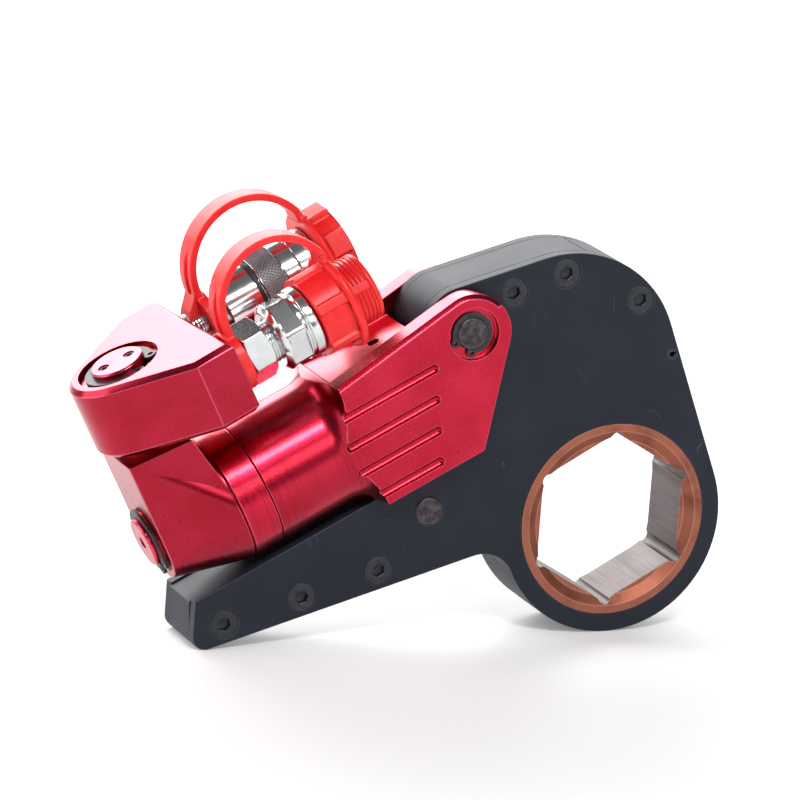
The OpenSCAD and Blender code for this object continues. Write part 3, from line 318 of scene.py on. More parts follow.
def copperWheel():
    finish = Finish("copperWheel", {"Metallic": 1.0})
    point = finish.toolPoint()
    cloud = finish.noise(point, 0.07, 4.0, 0.6)
    grain = finish.noise(point, 1.3, 3.0, 0.7)
    broach = finish.noise(finish.toolPoint((1.7, 0.03, 1.7)), 1.0, 3.0, 0.65)
    wide = finish.noise(finish.toolPoint((0.16, 0.02, 0.16)), 1.0, 2.0, 0.6)
    wall = finish.ease(finish.facing(), 0.10, 0.22, 1.0, 0.0)
    copper = finish.mix(finish.ease(cloud, 0.45, 0.72) * 0.8, copperSpec["face"], copperSpec["stain"])
    steel = finish.mix(finish.ease(broach, 0.35, 0.65) * 0.5 + finish.ease(wide, 0.45, 0.7) * 0.4,
            copperSpec["wall"], copperSpec["wallDark"])
    colour = finish.mix(wall, copper, steel)
    colour = finish.mix(finish.edge() * (1.0 - wall) * 0.25, colour, copperSpec["rim"])
    finish.feed("Base Color", colour)
    finish.feed("Roughness", 0.40 + cloud * 0.12 + grain * 0.06 + wall * 0.04)
    finish.feed("Normal", finish.bump(grain * 0.5 * (1.0 - wall) + wall * broach * 1.6, 0.25))
    return finish.material


platedSpec = {"bright": rgb(0.83, 0.84, 0.85), "shade": rgb(0.66, 0.68, 0.70), "rough": 0.10}


def brightPlated(name, rough, pitted, depth=1.0):
    finish = Finish(name, {"Metallic": 1.0})
    point = finish.toolPoint()
    cloud = finish.noise(point, 0.12, 3.0, 0.6)
    fine = finish.noise(point, 2.6, 3.0, 0.7)
    rings = finish.noise(finish.toolPoint((2.4, 0.12, 0.02)), 1.0, 3.0, 0.6)
    low, high = ([c * depth for c in platedSpec[k][:3]] + [1.0] for k in ("shade", "bright"))
    colour = finish.mix(finish.ease(cloud, 0.4, 0.75) * 0.6 + finish.ease(fine, 0.55, 0.8) * pitted, high, low)
    finish.feed("Base Color", colour)
    finish.feed("Roughness", rough + rings * 0.10 + finish.ease(fine, 0.45, 0.7) * pitted * 0.5)
    finish.feed("Normal", finish.bump(rings * 0.6 + fine * pitted * 4.0, 0.12))
    return finish.material


darkRim = rgb(0.16, 0.165, 0.18)


def darkSteel(name, low, high, rough, metal):
    finish = Finish(name, {"Metallic": metal})
    point = finish.toolPoint()
    cloud = finish.noise(point, 0.35, 4.0, 0.65)
    grain = finish.noise(point, 2.8, 2.0, 0.6)
    colour = finish.mix(finish.ease(cloud, 0.35, 0.7), low, high)
    colour = finish.mix(finish.edge() * 0.25, colour, darkRim)
    finish.feed("Base Color", colour)
    finish.feed("Roughness", rough + cloud * 0.12 + grain * 0.06)
    finish.feed("Normal", finish.bump(cloud * 0.6 + grain * 0.5, 0.20))
    return finish.material


steelSpec = {"bright": rgb(0.50, 0.50, 0.51), "shade": rgb(0.32, 0.32, 0.33), "rough": 0.24}


def groundSteel():
    finish = Finish("groundSteel", {"Metallic": 1.0})
    point = finish.toolPoint()
    cloud = finish.noise(point, 0.10, 3.0, 0.6)
    lines = finish.noise(finish.toolPoint((0.15, 2.0, 1.6)), 1.0, 3.0, 0.6)
    colour = finish.mix(finish.ease(cloud, 0.3, 0.7) * 0.6 + lines * 0.3, steelSpec["bright"],
            steelSpec["shade"])
    finish.feed("Base Color", colour)
    finish.feed("Roughness", steelSpec["rough"] + lines * 0.16 + cloud * 0.06)
    finish.feed("Normal", finish.bump(lines, 0.15))
    return finish.material


bronzeSpec = {"bright": rgb(0.56, 0.33, 0.11), "shade": rgb(0.36, 0.20, 0.07), "rough": 0.26}


def bearingBronze():
    finish = Finish("bearingBronze", {"Metallic": 1.0})
    point = finish.toolPoint()
    cloud = finish.noise(point, 0.15, 3.0, 0.6)
    rings = finish.noise(finish.toolPoint((2.0, 0.05, 0.05)), 1.0, 3.0, 0.6)
    finish.feed("Base Color", finish.mix(cloud, bronzeSpec["bright"], bronzeSpec["shade"]))
    finish.feed("Roughness", bronzeSpec["rough"] + rings * 0.18)
    finish.feed("Normal", finish.bump(rings, 0.15))
    return finish.material


rubberSpec = {"deep": rgb(0.006, 0.006, 0.007), "worn": rgb(0.022, 0.022, 0.024), "rough": 0.42}


def sealRubber():
    finish = Finish("sealRubber", {"Metallic": 0.0})
    point = finish.toolPoint()
    grain = finish.noise(point, 2.0, 3.0, 0.6)
    finish.feed("Base Color", finish.mix(grain, rubberSpec["deep"], rubberSpec["worn"]))
    finish.feed("Roughness", rubberSpec["rough"] + grain * 0.2)
    finish.feed("Normal", finish.bump(grain, 0.15))
    return finish.material


vinylSpec = {"body": rgb(0.78, 0.010, 0.012), "thin": rgb(0.86, 0.030, 0.030), "rough": 0.28}


def capVinyl():
    finish = Finish("capVinyl", {
        "Metallic": 0.0, "Subsurface Weight": 0.30, "Subsurface Scale": 0.003,
        "Subsurface Radius": (1.0, 0.10, 0.07),
        "Specular IOR Level": 0.36})
    point = finish.toolPoint()
    flow = finish.noise(finish.toolPoint((0.16, 0.05, 0.09)), 1.0, 3.0, 0.55)
    skin = finish.noise(point, 0.9, 2.0, 0.5)
    colour = finish.mix(finish.ease(flow, 0.35, 0.7) * 0.7 + finish.edge() * 0.4, vinylSpec["body"],
            vinylSpec["thin"])
    finish.feed("Base Color", colour)
    finish.feed("Roughness", vinylSpec["rough"] + flow * 0.10 + skin * 0.05)
    finish.feed("Normal", finish.bump(flow * 0.7 + skin * 0.5, 0.20, 0.00025))
    return finish.material


finishes = {
    "blackOxide": blackOxide(),
    "redHead": redAnodised("redHead", stance["blockX"] - 0.5, depth=0.86),
    "redTurned": redAnodised("redTurned", 500.0),
    "redPost": redAnodised("redPost", 500.0, 2),
    "redMilled": redAnodised("redMilled", depth=0.68),
    "copperWheel": copperWheel(),
    "brightPlated": brightPlated("brightPlated", platedSpec["rough"], 0.05, 0.88),
    "hexPlated": brightPlated("hexPlated", 0.08, 0.42, 0.74),
    "blackScrew": darkSteel("blackScrew", rgb(0.0060, 0.0075, 0.0125), rgb(0.0150, 0.0180, 0.0260), 0.30, 0.0),
    "pinSteel": darkSteel("pinSteel", rgb(0.034, 0.026, 0.031), rgb(0.105, 0.088, 0.098), 0.34, 0.75),
    "blackRing": darkSteel("blackRing", rgb(0.010, 0.011, 0.013), rgb(0.028, 0.030, 0.033), 0.30, 0.2),
    "groundSteel": groundSteel(),
    "bearingBronze": bearingBronze(),
    "sealRubber": sealRubber(),
    "capVinyl": capVinyl(),
}
print("finishes made:", len(finishes))


# building helpers: merge distances are in metres, for turned shapes in millimetres, and angles in degrees
buildSpec = {"merge": 0.000002, "mergeTurned": 0.0001, "degenerate": 0.000001, "flat": 0.5, "hullFlat": 0.4,
             "hullEdge": 34.0, "sharp": 35.0, "profile": 0.5}


def settle(name, bm, finish, sharp=buildSpec["sharp"]):
    # turns a bmesh into a finished piece with flat faces kept flat
    mesh = meshOf(name, bm)
    if "custom_normal" in mesh.attributes:
        mesh.attributes.remove(mesh.attributes["custom_normal"])
    for face in mesh.polygons:
        face.use_smooth = True
        face.material_index = 0
    mesh.set_sharp_from_angle(angle=math.radians(sharp))
    mesh.materials.clear()
    mesh.materials.append(finishes[finish])
    piece = show(name, mesh)
    flats = piece.modifiers.new("flats", "WEIGHTED_NORMAL")
    flats.keep_sharp = True
    return freeze(piece)


def freeze(piece):
    # the evaluated shape becomes the piece's own mesh
    bpy.context.view_layer.update()
    graph = bpy.context.evaluated_depsgraph_get()
    done = bpy.data.meshes.new_from_object(piece.evaluated_get(graph), preserve_all_data_layers=True,
            depsgraph=graph)
    piece.modifiers.clear()
    old = piece.data
    piece.data = done
    done.name = piece.name
    bpy.data.meshes.remove(old)
    return piece


def softened(node, width, segments=2, angle=30.0, joined=True):
    # a copy of a node with its facets joined and its edges rounded
    bm = bmesh.new()
    bm.from_mesh(nodes[node].data)
    bmesh.ops.remove_doubles(bm, verts=bm.verts, dist=buildSpec["merge"])
    if joined:
        bmesh.ops.dissolve_limit(bm, angle_limit=math.radians(buildSpec["flat"]), verts=bm.verts,
                edges=bm.edges)
    return eased(bm, width, segments, angle)


def eased(bm, width, segments=2, angle=30.0):
    # rounds every edge sharper than the angle and marks the new faces as worn edge
    layer = bm.faces.layers.float.new("edge")
    rim = [e for e in bm.edges if e.is_manifold and e.calc_face_angle(0.0) > math.radians(angle)]
    made = bmesh.ops.bevel(bm, geom=rim, offset=width * mm, offset_type="OFFSET", segments=segments,
            profile=buildSpec["profile"],
                           affect="EDGES", clamp_overlap=False, loop_slide=True, material=-1)
    for face in made["faces"]:
        face[layer] = 1.0
    bmesh.ops.dissolve_degenerate(bm, dist=buildSpec["degenerate"], edges=bm.edges)
    return bm


def hand(piece, finish, body, *replaced):
    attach(piece, body)
    if replaced:
        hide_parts(*replaced)


def lathe(bm, stations, turns=96):
    # a closed turned shape round the x axis, from stations of place and radius
    rings = []
    angles = [2 * math.pi * i / turns for i in range(turns)]
    for along, radius in stations:
        if radius == 0.0:
            rings.append([bm.verts.new((along, 0, 0))])
        else:
            rings.append([bm.verts.new((along, radius * math.cos(a), radius * math.sin(a))) for a in angles])
    for low, high in zip(rings, rings[1:]):
        for i in range(turns):
            j = (i + 1) % turns
            if len(low) == 1:
                bm.faces.new((low[0], high[j], high[i]))
            elif len(high) == 1:
                bm.faces.new((low[i], low[j], high[0]))
            else:
                bm.faces.new((low[i], low[j], high[j], high[i]))


# machined pieces, each a softened copy of its solid
machined = {
    "side_plate_front": ("blackOxide", 0.3), "side_plate_rear": ("blackOxide", 0.3),
    "edge_shroud": ("blackOxide", 0.25), "top_spacer": ("blackOxide", 0.25),
    "holding_pawl_pin": ("pinSteel", 0.25), "stop_pin": ("blackScrew", 0.12),
    "ratchet_wheel": ("copperWheel", 0.25), "cylinder_body": ("redHead", 0.35), "end_cap": ("redTurned", 0.2),
    "link_pin": ("pinSteel", 0.2), "pin_rings": ("blackRing", 0.15),
    "lower_post": ("redTurned", 0.2), "lower_post_ring": ("blackRing", 0.15),
    "lower_post_screw": ("blackScrew", 0.15),
    "upper_post": ("redPost", 0.2), "upper_post_screws": ("blackScrew", 0.15),
    "nipple_a": ("hexPlated", 0.25),
    "coupler_a": ("brightPlated", 0.45), "coupler_b": ("brightPlated", 0.2), "lock_ring_b": ("sealRubber", 0.2),
    "cap_a": ("capVinyl", 0.55), "cap_b": ("capVinyl", 0.7),
}
# stepped bores whose flat rings must stay in facets, so that none closes over the hole
ringed = {"coupler_b"}
for node, (finish, width) in machined.items():
    bm = softened(node, width, joined=node not in ringed)
    piece = settle(node.replace("_", "-") + ".dressed", bm, finish)
    hand(piece, finish, nodes[node]["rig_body"], node)
print("machined pieces:", len(machined))

# tail block, its top nearly level with the plates
tailSpec = {"above": 54.0, "lift": 1.2, "ease": 0.3}


def makeTailBlock():
    bm = softened("tail_block", tailSpec["ease"])
    back = toolToRow.inverted()
    lift = toolToRow @ Vector((0, 0, tailSpec["lift"] * mm))
    for vert in bm.verts:
        if (back @ vert.co).z / mm > tailSpec["above"]:
            vert.co += lift
    hand(settle("tailBlock.dressed", bm, "blackOxide"), "blackOxide", "tool_body", "tail_block")


# pieces inside the tool keep their solids and take a finish
inside = {
    "groundSteel": ["crank_plate_front", "crank_plate_rear", "drive_pin", "pawl_guide", "drive_pawl",
    "holding_pawl",
                    "holding_spring", "piston", "rod_end", "poppet_a", "poppet_b"],
    "sealRubber": ["end_cap_seal", "piston_seal", "rod_seal", "lower_post_seals", "upper_post_seals"],
    "brightPlated": ["piston_rod"], "bearingBronze": ["rod_gland"],
}
for finish, names in inside.items():
    for node in names:
        part = nodes[node]
        if not part.material_slots:
            part.data.materials.append(finishes[finish])
        for slot in part.material_slots:
            slot.material = finishes[finish]
print("inside pieces:", sum(len(names) for names in inside.values()))


def makePawlSprings():
    bm = bmesh.new()
    bm.from_mesh(nodes["pawl_springs"].data)
    bmesh.ops.remove_doubles(bm, verts=bm.verts, dist=buildSpec["merge"])
    bm.faces.layers.float.new("edge")
    piece = settle("pawlSprings.pair", bm, "groundSteel")
    hand(piece, "groundSteel", "crank", "pawl_springs")
    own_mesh(piece)


# lower swivel: a round boss that widens from its rear end to the cylinder's flange
lowerSpec = {
    "rear": -168.3, "rearRadius": 17.4, "front": -137.2, "frontRadius": 25.9, "cornerX": -142.2,
    "cornerHalf": 22.0, "top": 120.8,
    "footTurn": 30.0, "coreRear": 16.0, "coreFront": 18.0, "steps": 48,
    "flangeFrom": -138.4, "flangeTo": -137.0, "flangeRadius": 25.5, "collarRadius": 14.2, "collarTop": 126.0,
    "bore": 12.06, "passage": 10.0, "passageFrom": 107.8, "ease": 0.4, "sharp": 9.0, "merge": 0.000005,
    "past": 1.0,
}


def roundBar(low, high, radius, lift=0.0, upright=False):
    # a plain bar along the tool, or upright on the post's axis
    ends = bmesh.new()
    lathe(ends, [(low, 0.0), (low, radius), (high, radius), (high, 0.0)])
    bmesh.ops.recalc_face_normals(ends, faces=ends.faces)
    turn = postStand if upright else Matrix.Translation((0, 0, lift))
    bmesh.ops.transform(ends, matrix=turn, verts=ends.verts)
    return meshOf("bar", ends)


def hullMesh(points, ease):
    # the convex form round the points, its edges rounded
    bm = bmesh.new()
    for point in points:
        bm.verts.new(point)
    hull = bmesh.ops.convex_hull(bm, input=bm.verts)
    bmesh.ops.delete(bm, geom=[v for v in hull["geom_interior"] if isinstance(v, bmesh.types.BMVert)],
            context="VERTS")
    bmesh.ops.recalc_face_normals(bm, faces=bm.faces)
    bmesh.ops.dissolve_limit(bm, angle_limit=math.radians(buildSpec["hullFlat"]), verts=bm.verts,
            edges=bm.edges)
    eased(bm, ease / mm, 2, buildSpec["hullEdge"])
    return meshOf("hull", bm)


def carve(body, mesh, operation):
    # joins or cuts one closed mesh with another
    tool = show("carveTool", mesh)
    cut = body.modifiers.new("carve", "BOOLEAN")
    cut.operation = operation
    cut.solver = "EXACT"
    cut.object = tool
    freeze(body)
    bpy.data.objects.remove(tool)


def makeLowerSwivel():
    s = lowerSpec
    axis = stance["headZ"]
    foot = math.radians(s["footTurn"])
    cone, wedge = [], []
    for k in range(s["steps"] + 1):
        a = math.pi + math.pi * k / s["steps"]
        cone.append((s["rear"], s["rearRadius"] * math.cos(a), axis + s["rearRadius"] * math.sin(a)))
        a = math.pi - foot + (math.pi + 2 * foot) * k / s["steps"]
        cone.append((s["front"], s["frontRadius"] * math.cos(a), axis + s["frontRadius"] * math.sin(a)))
    for side in (-1, 1):
        rearTop = (s["rear"], side * s["rearRadius"], s["top"])
        cone.append(rearTop)
        wedge += [rearTop, (s["cornerX"], side * s["cornerHalf"], s["top"]),
                  (s["front"], side * s["frontRadius"] * math.cos(foot),
                  axis + s["frontRadius"] * math.sin(foot)),
                  (s["rear"] + s["past"], side * s["coreRear"], axis),
                  (s["front"] - s["past"], side * s["coreFront"], axis)]
    body = show("lowerSwivelHull", hullMesh(cone, s["ease"]))
    carve(body, hullMesh(wedge, s["ease"]), "UNION")
    carve(body, roundBar(s["flangeFrom"], s["flangeTo"], s["flangeRadius"], axis), "UNION")
    carve(body, roundBar(s["top"] - s["past"], s["collarTop"], s["collarRadius"], upright=True), "UNION")
    carve(body, roundBar(s["rear"] - s["past"], s["flangeTo"] + s["past"], s["bore"], axis), "DIFFERENCE")
    carve(body, roundBar(s["passageFrom"], s["collarTop"] + s["past"], s["passage"], upright=True),
            "DIFFERENCE")
    bm = bmesh.new()
    bm.from_mesh(body.data)
    bpy.data.objects.remove(body)
    bmesh.ops.transform(bm, matrix=Matrix.Scale(mm, 4) @ toolToRow, verts=bm.verts)
    bmesh.ops.remove_doubles(bm, verts=bm.verts, dist=s["merge"])
    piece = settle("lowerSwivel.boss", bm, "redMilled", s["sharp"])
    hand(piece, "redMilled", "lower_swivel", "lower_swivel")
    print("lower swivel made:", len(piece.data.polygons), "faces")


# upper swivel: the block's skirt reaches down over the collar
upperSpec = {"skirt": 4.2, "below": 131.0, "clear": 15.0, "ease": 0.3}


def makeUpperSwivel():
    u = upperSpec
    bm = softened("upper_swivel", u["ease"])
    back = toolToRow.inverted()
    drop = toolToRow @ Vector((0, 0, -u["skirt"] * mm))
    for vert in bm.verts:
        spot = (back @ vert.co) / mm
        if spot.z < u["below"] and math.hypot(spot.x - stance["postX"], spot.y) > u["clear"]:
            vert.co += drop
    piece = settle("upperSwivel.block", bm, "redMilled")
    hand(piece, "redMilled", "upper_swivel", "upper_swivel")


# upper post: washer and circlip under its head
postRing = {"lift": 3.05, "ease": 0.15, "washerInner": 12.15, "washerOuter": 16.35, "washerFrom": 148.45,
        "washerTo": 151.75,
            "outerEase": 0.3, "innerEase": 0.2}


def makePostRing():
    bm = softened("upper_post_ring", postRing["ease"])
    rise = toolToRow @ Vector((0, 0, postRing["lift"] * mm))
    bmesh.ops.translate(bm, vec=rise, verts=bm.verts)
    piece = settle("upperPostRing.circlip", bm, "blackRing")
    hand(piece, "blackRing", "lower_swivel", "upper_post_ring")
    w = postRing
    bm = bmesh.new()
    low, high, inner, outer = w["washerFrom"], w["washerTo"], w["washerInner"], w["washerOuter"]
    lathe(bm, [(low, inner), (low, outer), (high - w["outerEase"], outer), (high, outer - w["outerEase"]),
               (high, inner + w["innerEase"]), (high - w["innerEase"], inner), (low, inner)])
    bmesh.ops.remove_doubles(bm, verts=bm.verts, dist=buildSpec["mergeTurned"])
    bmesh.ops.recalc_face_normals(bm, faces=bm.faces)
    bm.faces.layers.float.new("edge")
    bmesh.ops.transform(bm, matrix=Matrix.Scale(mm, 4) @ toolToRow @ postStand, verts=bm.verts)
    hand(settle("upperPostRing.washer", bm, "redPost"), "redPost", "upper_swivel")


# far nipple: a threaded neck between the block and the strap's ring
neckSpec = {"seat": 20.4, "ring": 44.3, "end": 52.4, "root": 6.1, "shoulder": 8.4, "slope": 1.0, "ease": 0.3}


def makeFarNipple():
    n = neckSpec
    bm = bmesh.new()
    lathe(bm, [(n["seat"], 0.0), (n["seat"], n["root"]), (n["ring"] - n["slope"], n["root"]),
               (n["ring"], n["shoulder"] - n["ease"]), (n["ring"] + n["ease"], n["shoulder"]),
               (n["end"], n["shoulder"]), (n["end"], 0.0)])
    bmesh.ops.recalc_face_normals(bm, faces=bm.faces)
    bm.faces.layers.float.new("edge")
    bmesh.ops.transform(bm, matrix=portToRow(1), verts=bm.verts)
    hand(settle("farNipple.neck", bm, "brightPlated"), "brightPlated", "upper_swivel", "nipple_b")


# geometry node helpers
def growTree(name, sockets):
    tree = bpy.data.node_groups.new(name, "GeometryNodeTree")
    tree.interface.new_socket("Geometry", in_out="INPUT", socket_type="NodeSocketGeometry")
    for label, kind in sockets:
        tree.interface.new_socket(label, in_out="INPUT", socket_type="NodeSocket" + kind)
    tree.interface.new_socket("Geometry", in_out="OUTPUT", socket_type="NodeSocketGeometry")
    return tree, tree.nodes.new("NodeGroupInput"), tree.nodes.new("NodeGroupOutput")


def addNode(tree, kind, settings=None, inputs=None):
    node = tree.nodes.new(kind)
    for key, value in (settings or {}).items():
        setattr(node, key, value)
    for key, value in (inputs or {}).items():
        if isinstance(value, bpy.types.NodeSocket):
            tree.links.new(value, node.inputs[key])
        else:
            node.inputs[key].default_value = value
    return node


def addSum(tree, operation, *terms):
    return addNode(tree, "ShaderNodeMath", {"operation": operation}, dict(enumerate(terms))).outputs[0]


def closeTree(tree, start, finish, geometry):
    real = addNode(tree, "GeometryNodeRealizeInstances", {}, {0: geometry})
    done = addNode(tree, "GeometryNodeSetMaterial", {}, {0: real.outputs[0], 2: start.outputs["Finish"]})
    tree.links.new(done.outputs[0], finish.inputs[0])


def grow(name, tree, values, host):
    # runs a tree on a host mesh and keeps the result as plain mesh
    piece = show(name, host)
    worker = piece.modifiers.new("grow", "NODES")
    worker.node_group = tree
    for item in tree.interface.items_tree:
        if item.item_type == "SOCKET" and item.in_out == "INPUT" and item.name in values:
            worker[item.identifier] = values[item.name]
    piece = freeze(piece)
    for face in piece.data.polygons:
        face.use_smooth = True
    piece.data.set_sharp_from_angle(angle=math.radians(buildSpec["sharp"]))
    return piece


# countersunk screws with hexagon sockets
screwSpec = {"head": 5.85, "shank": 2.95, "length": 14.0, "drop": 0.15, "socket": 2.35, "socketDeep": 2.6,
        "dish": 4.9,
             "around": 48, "spot": 3.4,
             "places": [(-159.6, 43.563), (-127.3, 37.285), (-95.0, 31.006), (-0.5, 105.8), (22.2, 102.1),
             (45.744, 76.701)],
             "outside": 16.0}


def screwShape():
    # one screw along +y from its face, made as a turned body with a hexagon pocket
    bm = bmesh.new()
    s = screwSpec
    around = s["around"]
    point = s["socket"] / math.cos(math.radians(30))
    corner = [Vector((point * math.cos(math.radians(60 * k)), 0, point * math.sin(math.radians(60 * k))))
              for k in range(6)]

    def hexRing(scale, deep):
        ring = []
        for i in range(around):
            share = i / around * 6
            k = int(share)
            p = corner[k].lerp(corner[(k + 1) % 6], share - k) * scale
            ring.append(bm.verts.new((p.x, deep, p.z)))
        return ring

    def roundRing(radius, deep):
        angles = [2 * math.pi * i / around for i in range(around)]
        return [bm.verts.new((radius * math.cos(a), deep, radius * math.sin(a))) for a in angles]

    drop, dish, head, shank, end = s["drop"], s["dish"], s["head"], s["shank"], s["length"]
    rings = [
        hexRing(0.15, s["socketDeep"] + 0.5), hexRing(0.96, s["socketDeep"]),
        hexRing(1.0, s["socketDeep"] - 0.2),
        hexRing(1.0, 0.45), hexRing(1.09, drop + 0.12), roundRing(s["spot"], drop), roundRing(dish, drop),
        roundRing(dish + 0.25, drop + 0.10), roundRing(dish + 0.5, drop), roundRing(head - 0.25, drop + 0.02),
        roundRing(head - 0.06, drop + 0.12), roundRing(head, drop + 0.35),
        roundRing(shank, drop + 0.4 + head - shank),
        roundRing(shank, end - 0.5), roundRing(shank - 0.5, end),
    ]
    bm.faces.new(rings[0])
    for low, high in zip(rings, rings[1:]):
        for i in range(around):
            j = (i + 1) % around
            bm.faces.new((low[i], high[i], high[j], low[j]))
    bm.faces.new(rings[-1])
    bmesh.ops.recalc_face_normals(bm, faces=bm.faces)
    return meshOf("screwShape", bm)


def screwTree():
    tree, start, finish = growTree("screwSet", [("Screw", "Object"), ("Turn", "Rotation"), ("Finish",
            "Material")])
    shape = addNode(tree, "GeometryNodeObjectInfo", {}, {"Object": start.outputs["Screw"]})
    spin = addNode(tree, "FunctionNodeRandomValue", {"data_type": "FLOAT"}, {2: 0.0, 3: 6.28, "Seed": 11})
    twist = addNode(tree, "ShaderNodeCombineXYZ", {}, {1: spin.outputs[1]})
    both = addNode(tree, "FunctionNodeRotateRotation", {"rotation_space": "LOCAL"},
            {0: start.outputs["Turn"], 1: twist.outputs[0]})
    spots = addNode(tree, "GeometryNodeMeshToPoints", {}, {0: start.outputs[0]})
    copies = addNode(tree, "GeometryNodeInstanceOnPoints", {}, {
        "Points": spots.outputs[0], "Instance": shape.outputs["Geometry"], "Rotation": both.outputs[0]})
    closeTree(tree, start, finish, copies.outputs[0])
    return tree


def makeScrews():
    template = show("screwTemplate", screwShape())
    tree = screwTree()
    for side, node in ((-1, "plate_screws_front"), (1, "plate_screws_rear")):
        host = bpy.data.meshes.new("screwSpots")
        host.from_pydata([(x, side * screwSpec["outside"], z) for x, z in screwSpec["places"]], [], [])
        turn = (0.0, 0.0, 0.0) if side < 0 else (math.pi, 0.0, 0.0)
        piece = grow("plateScrews." + ("front" if side < 0 else "rear"), tree, {
            "Screw": template, "Turn": turn, "Finish": finishes["blackScrew"]}, host)
        piece.data.transform(Matrix.Scale(mm, 4) @ toolToRow)
        hand(piece, "blackScrew", "tool_body", node)
    bpy.data.objects.remove(template)
    print("screws set:", 2 * len(screwSpec["places"]))


# knurled sleeve of the far coupler
sleeveSpec = {"from": 68.9, "to": 79.3, "radius": 15.0, "bore": 13.06, "land": 0.45, "around": 58, "along": 11,
        "rise": 0.75,
              "lip": 0.25, "corner": 0.7, "cornerLong": 0.3, "lipLong": 0.2, "sink": 0.02, "groove": 0.03,
              "under": 0.2,
              "bare": 0.7, "toothShare": 0.52, "toothMore": 0.1}


def knurlTree():
    tree, start, finish = growTree("knurlBand", [
        ("Length", "Float"), ("Radius", "Float"), ("Around", "Int"), ("Along", "Int"), ("Tooth", "Float"),
        ("Rise", "Float"), ("Finish", "Material")])
    grid = addNode(tree, "GeometryNodeMeshGrid", {}, {
        "Size X": start.outputs["Length"], "Size Y": 1.0, "Vertices X": start.outputs["Along"],
        "Vertices Y": start.outputs["Around"]})
    spot = addNode(tree, "GeometryNodeInputPosition")
    split = addNode(tree, "ShaderNodeSeparateXYZ", {}, {0: spot.outputs[0]})
    index = addNode(tree, "GeometryNodeInputIndex")
    row = addSum(tree, "DIVIDE", index.outputs[0], start.outputs["Around"])
    whole = addSum(tree, "FLOOR", row)
    odd = addSum(tree, "MODULO", whole, 2.0)
    count = addSum(tree, "SUBTRACT", start.outputs["Around"], 1.0)
    step = addSum(tree, "MULTIPLY", split.outputs[1], count)
    shifted = addSum(tree, "MULTIPLY_ADD", odd, 0.5, step)
    turnShare = addSum(tree, "DIVIDE", shifted, start.outputs["Around"])
    angle = addSum(tree, "MULTIPLY", turnShare, 2 * math.pi)
    cosine = addSum(tree, "COSINE", angle)
    sine = addSum(tree, "SINE", angle)
    across = addSum(tree, "MULTIPLY", cosine, start.outputs["Radius"])
    upward = addSum(tree, "MULTIPLY", sine, start.outputs["Radius"])
    wrapped = addNode(tree, "ShaderNodeCombineXYZ", {}, {0: split.outputs[0], 1: across, 2: upward})
    spots = addNode(tree, "GeometryNodeMeshToPoints", {}, {0: grid.outputs[0], "Position": wrapped.outputs[0]})
    here = addNode(tree, "GeometryNodeInputPosition")
    flat = addNode(tree, "ShaderNodeVectorMath", {"operation": "MULTIPLY"},
            {0: here.outputs[0], 1: (0.0, 1.0, 1.0)})
    aim = addNode(tree, "FunctionNodeAlignRotationToVector", {"axis": "Z"}, {"Vector": flat.outputs[0]})
    tooth = addNode(tree, "GeometryNodeMeshCone", {"fill_type": "NGON"}, {
        "Vertices": 4, "Radius Top": 0.0, "Radius Bottom": start.outputs["Tooth"],
        "Depth": start.outputs["Rise"]})
    copies = addNode(tree, "GeometryNodeInstanceOnPoints", {}, {
        "Points": spots.outputs[0], "Instance": tooth.outputs[0], "Rotation": aim.outputs[0]})
    closeTree(tree, start, finish, copies.outputs[0])
    return tree


def makeSleeve():
    s = sleeveSpec
    core = s["radius"] - s["rise"]
    bm = bmesh.new()
    low, high, lip, corner = s["from"], s["to"], s["radius"] - s["lip"], s["radius"] - s["corner"]
    landLow, landHigh = low + s["land"], high - s["land"]
    lathe(bm, [
        (low, s["bore"]), (low, corner), (low + s["cornerLong"], lip), (landLow - s["lipLong"], lip),
        (landLow, core),
        (landHigh, core), (landHigh + s["lipLong"], lip), (high - s["cornerLong"], lip), (high, corner),
        (high, s["bore"]), (low, s["bore"])])
    bmesh.ops.remove_doubles(bm, verts=bm.verts, dist=buildSpec["mergeTurned"])
    bmesh.ops.recalc_face_normals(bm, faces=bm.faces)
    bmesh.ops.transform(bm, matrix=portToRow(1), verts=bm.verts)
    body = settle("knurledSleeve.body", bm, "brightPlated")
    hand(body, "brightPlated", "sleeve", "knurled_sleeve_b")
    # a dark pinSteel ring over the core between the knurl teeth: painted shade in the knurl's valleys, which
    # are really the same plated metal as the sleeve
    bm = bmesh.new()
    inner, outer = core - s["under"], core + s["groove"]
    lathe(bm, [(landLow + s["sink"], inner), (landLow + s["sink"], outer),
               (landHigh - s["sink"], outer), (landHigh - s["sink"], inner)])
    bmesh.ops.recalc_face_normals(bm, faces=bm.faces)
    bm.faces.layers.float.new("edge")
    bmesh.ops.transform(bm, matrix=portToRow(1), verts=bm.verts)
    hand(settle("knurledSleeve.grooves", bm, "pinSteel"), "pinSteel", "sleeve")
    length = high - low - 2 * s["land"] - s["bare"]
    pitch = 2 * math.pi * s["radius"] / s["around"]
    band = grow("knurledSleeve.knurl", knurlTree(), {
        "Length": length, "Radius": core - s["sink"], "Around": s["around"], "Along": s["along"],
        "Tooth": pitch * s["toothShare"],
        "Rise": s["rise"] + s["toothMore"], "Finish": finishes["groundSteel"]},
        bpy.data.meshes.new("knurlHost"))
    band.data.transform(portToRow(1) @ Matrix.Translation(((low + high) / 2, 0, 0)))
    for face in band.data.polygons:
        face.use_smooth = False
    hand(band, "groundSteel", "sleeve")
    print("knurl made:", len(band.data.polygons), "faces")


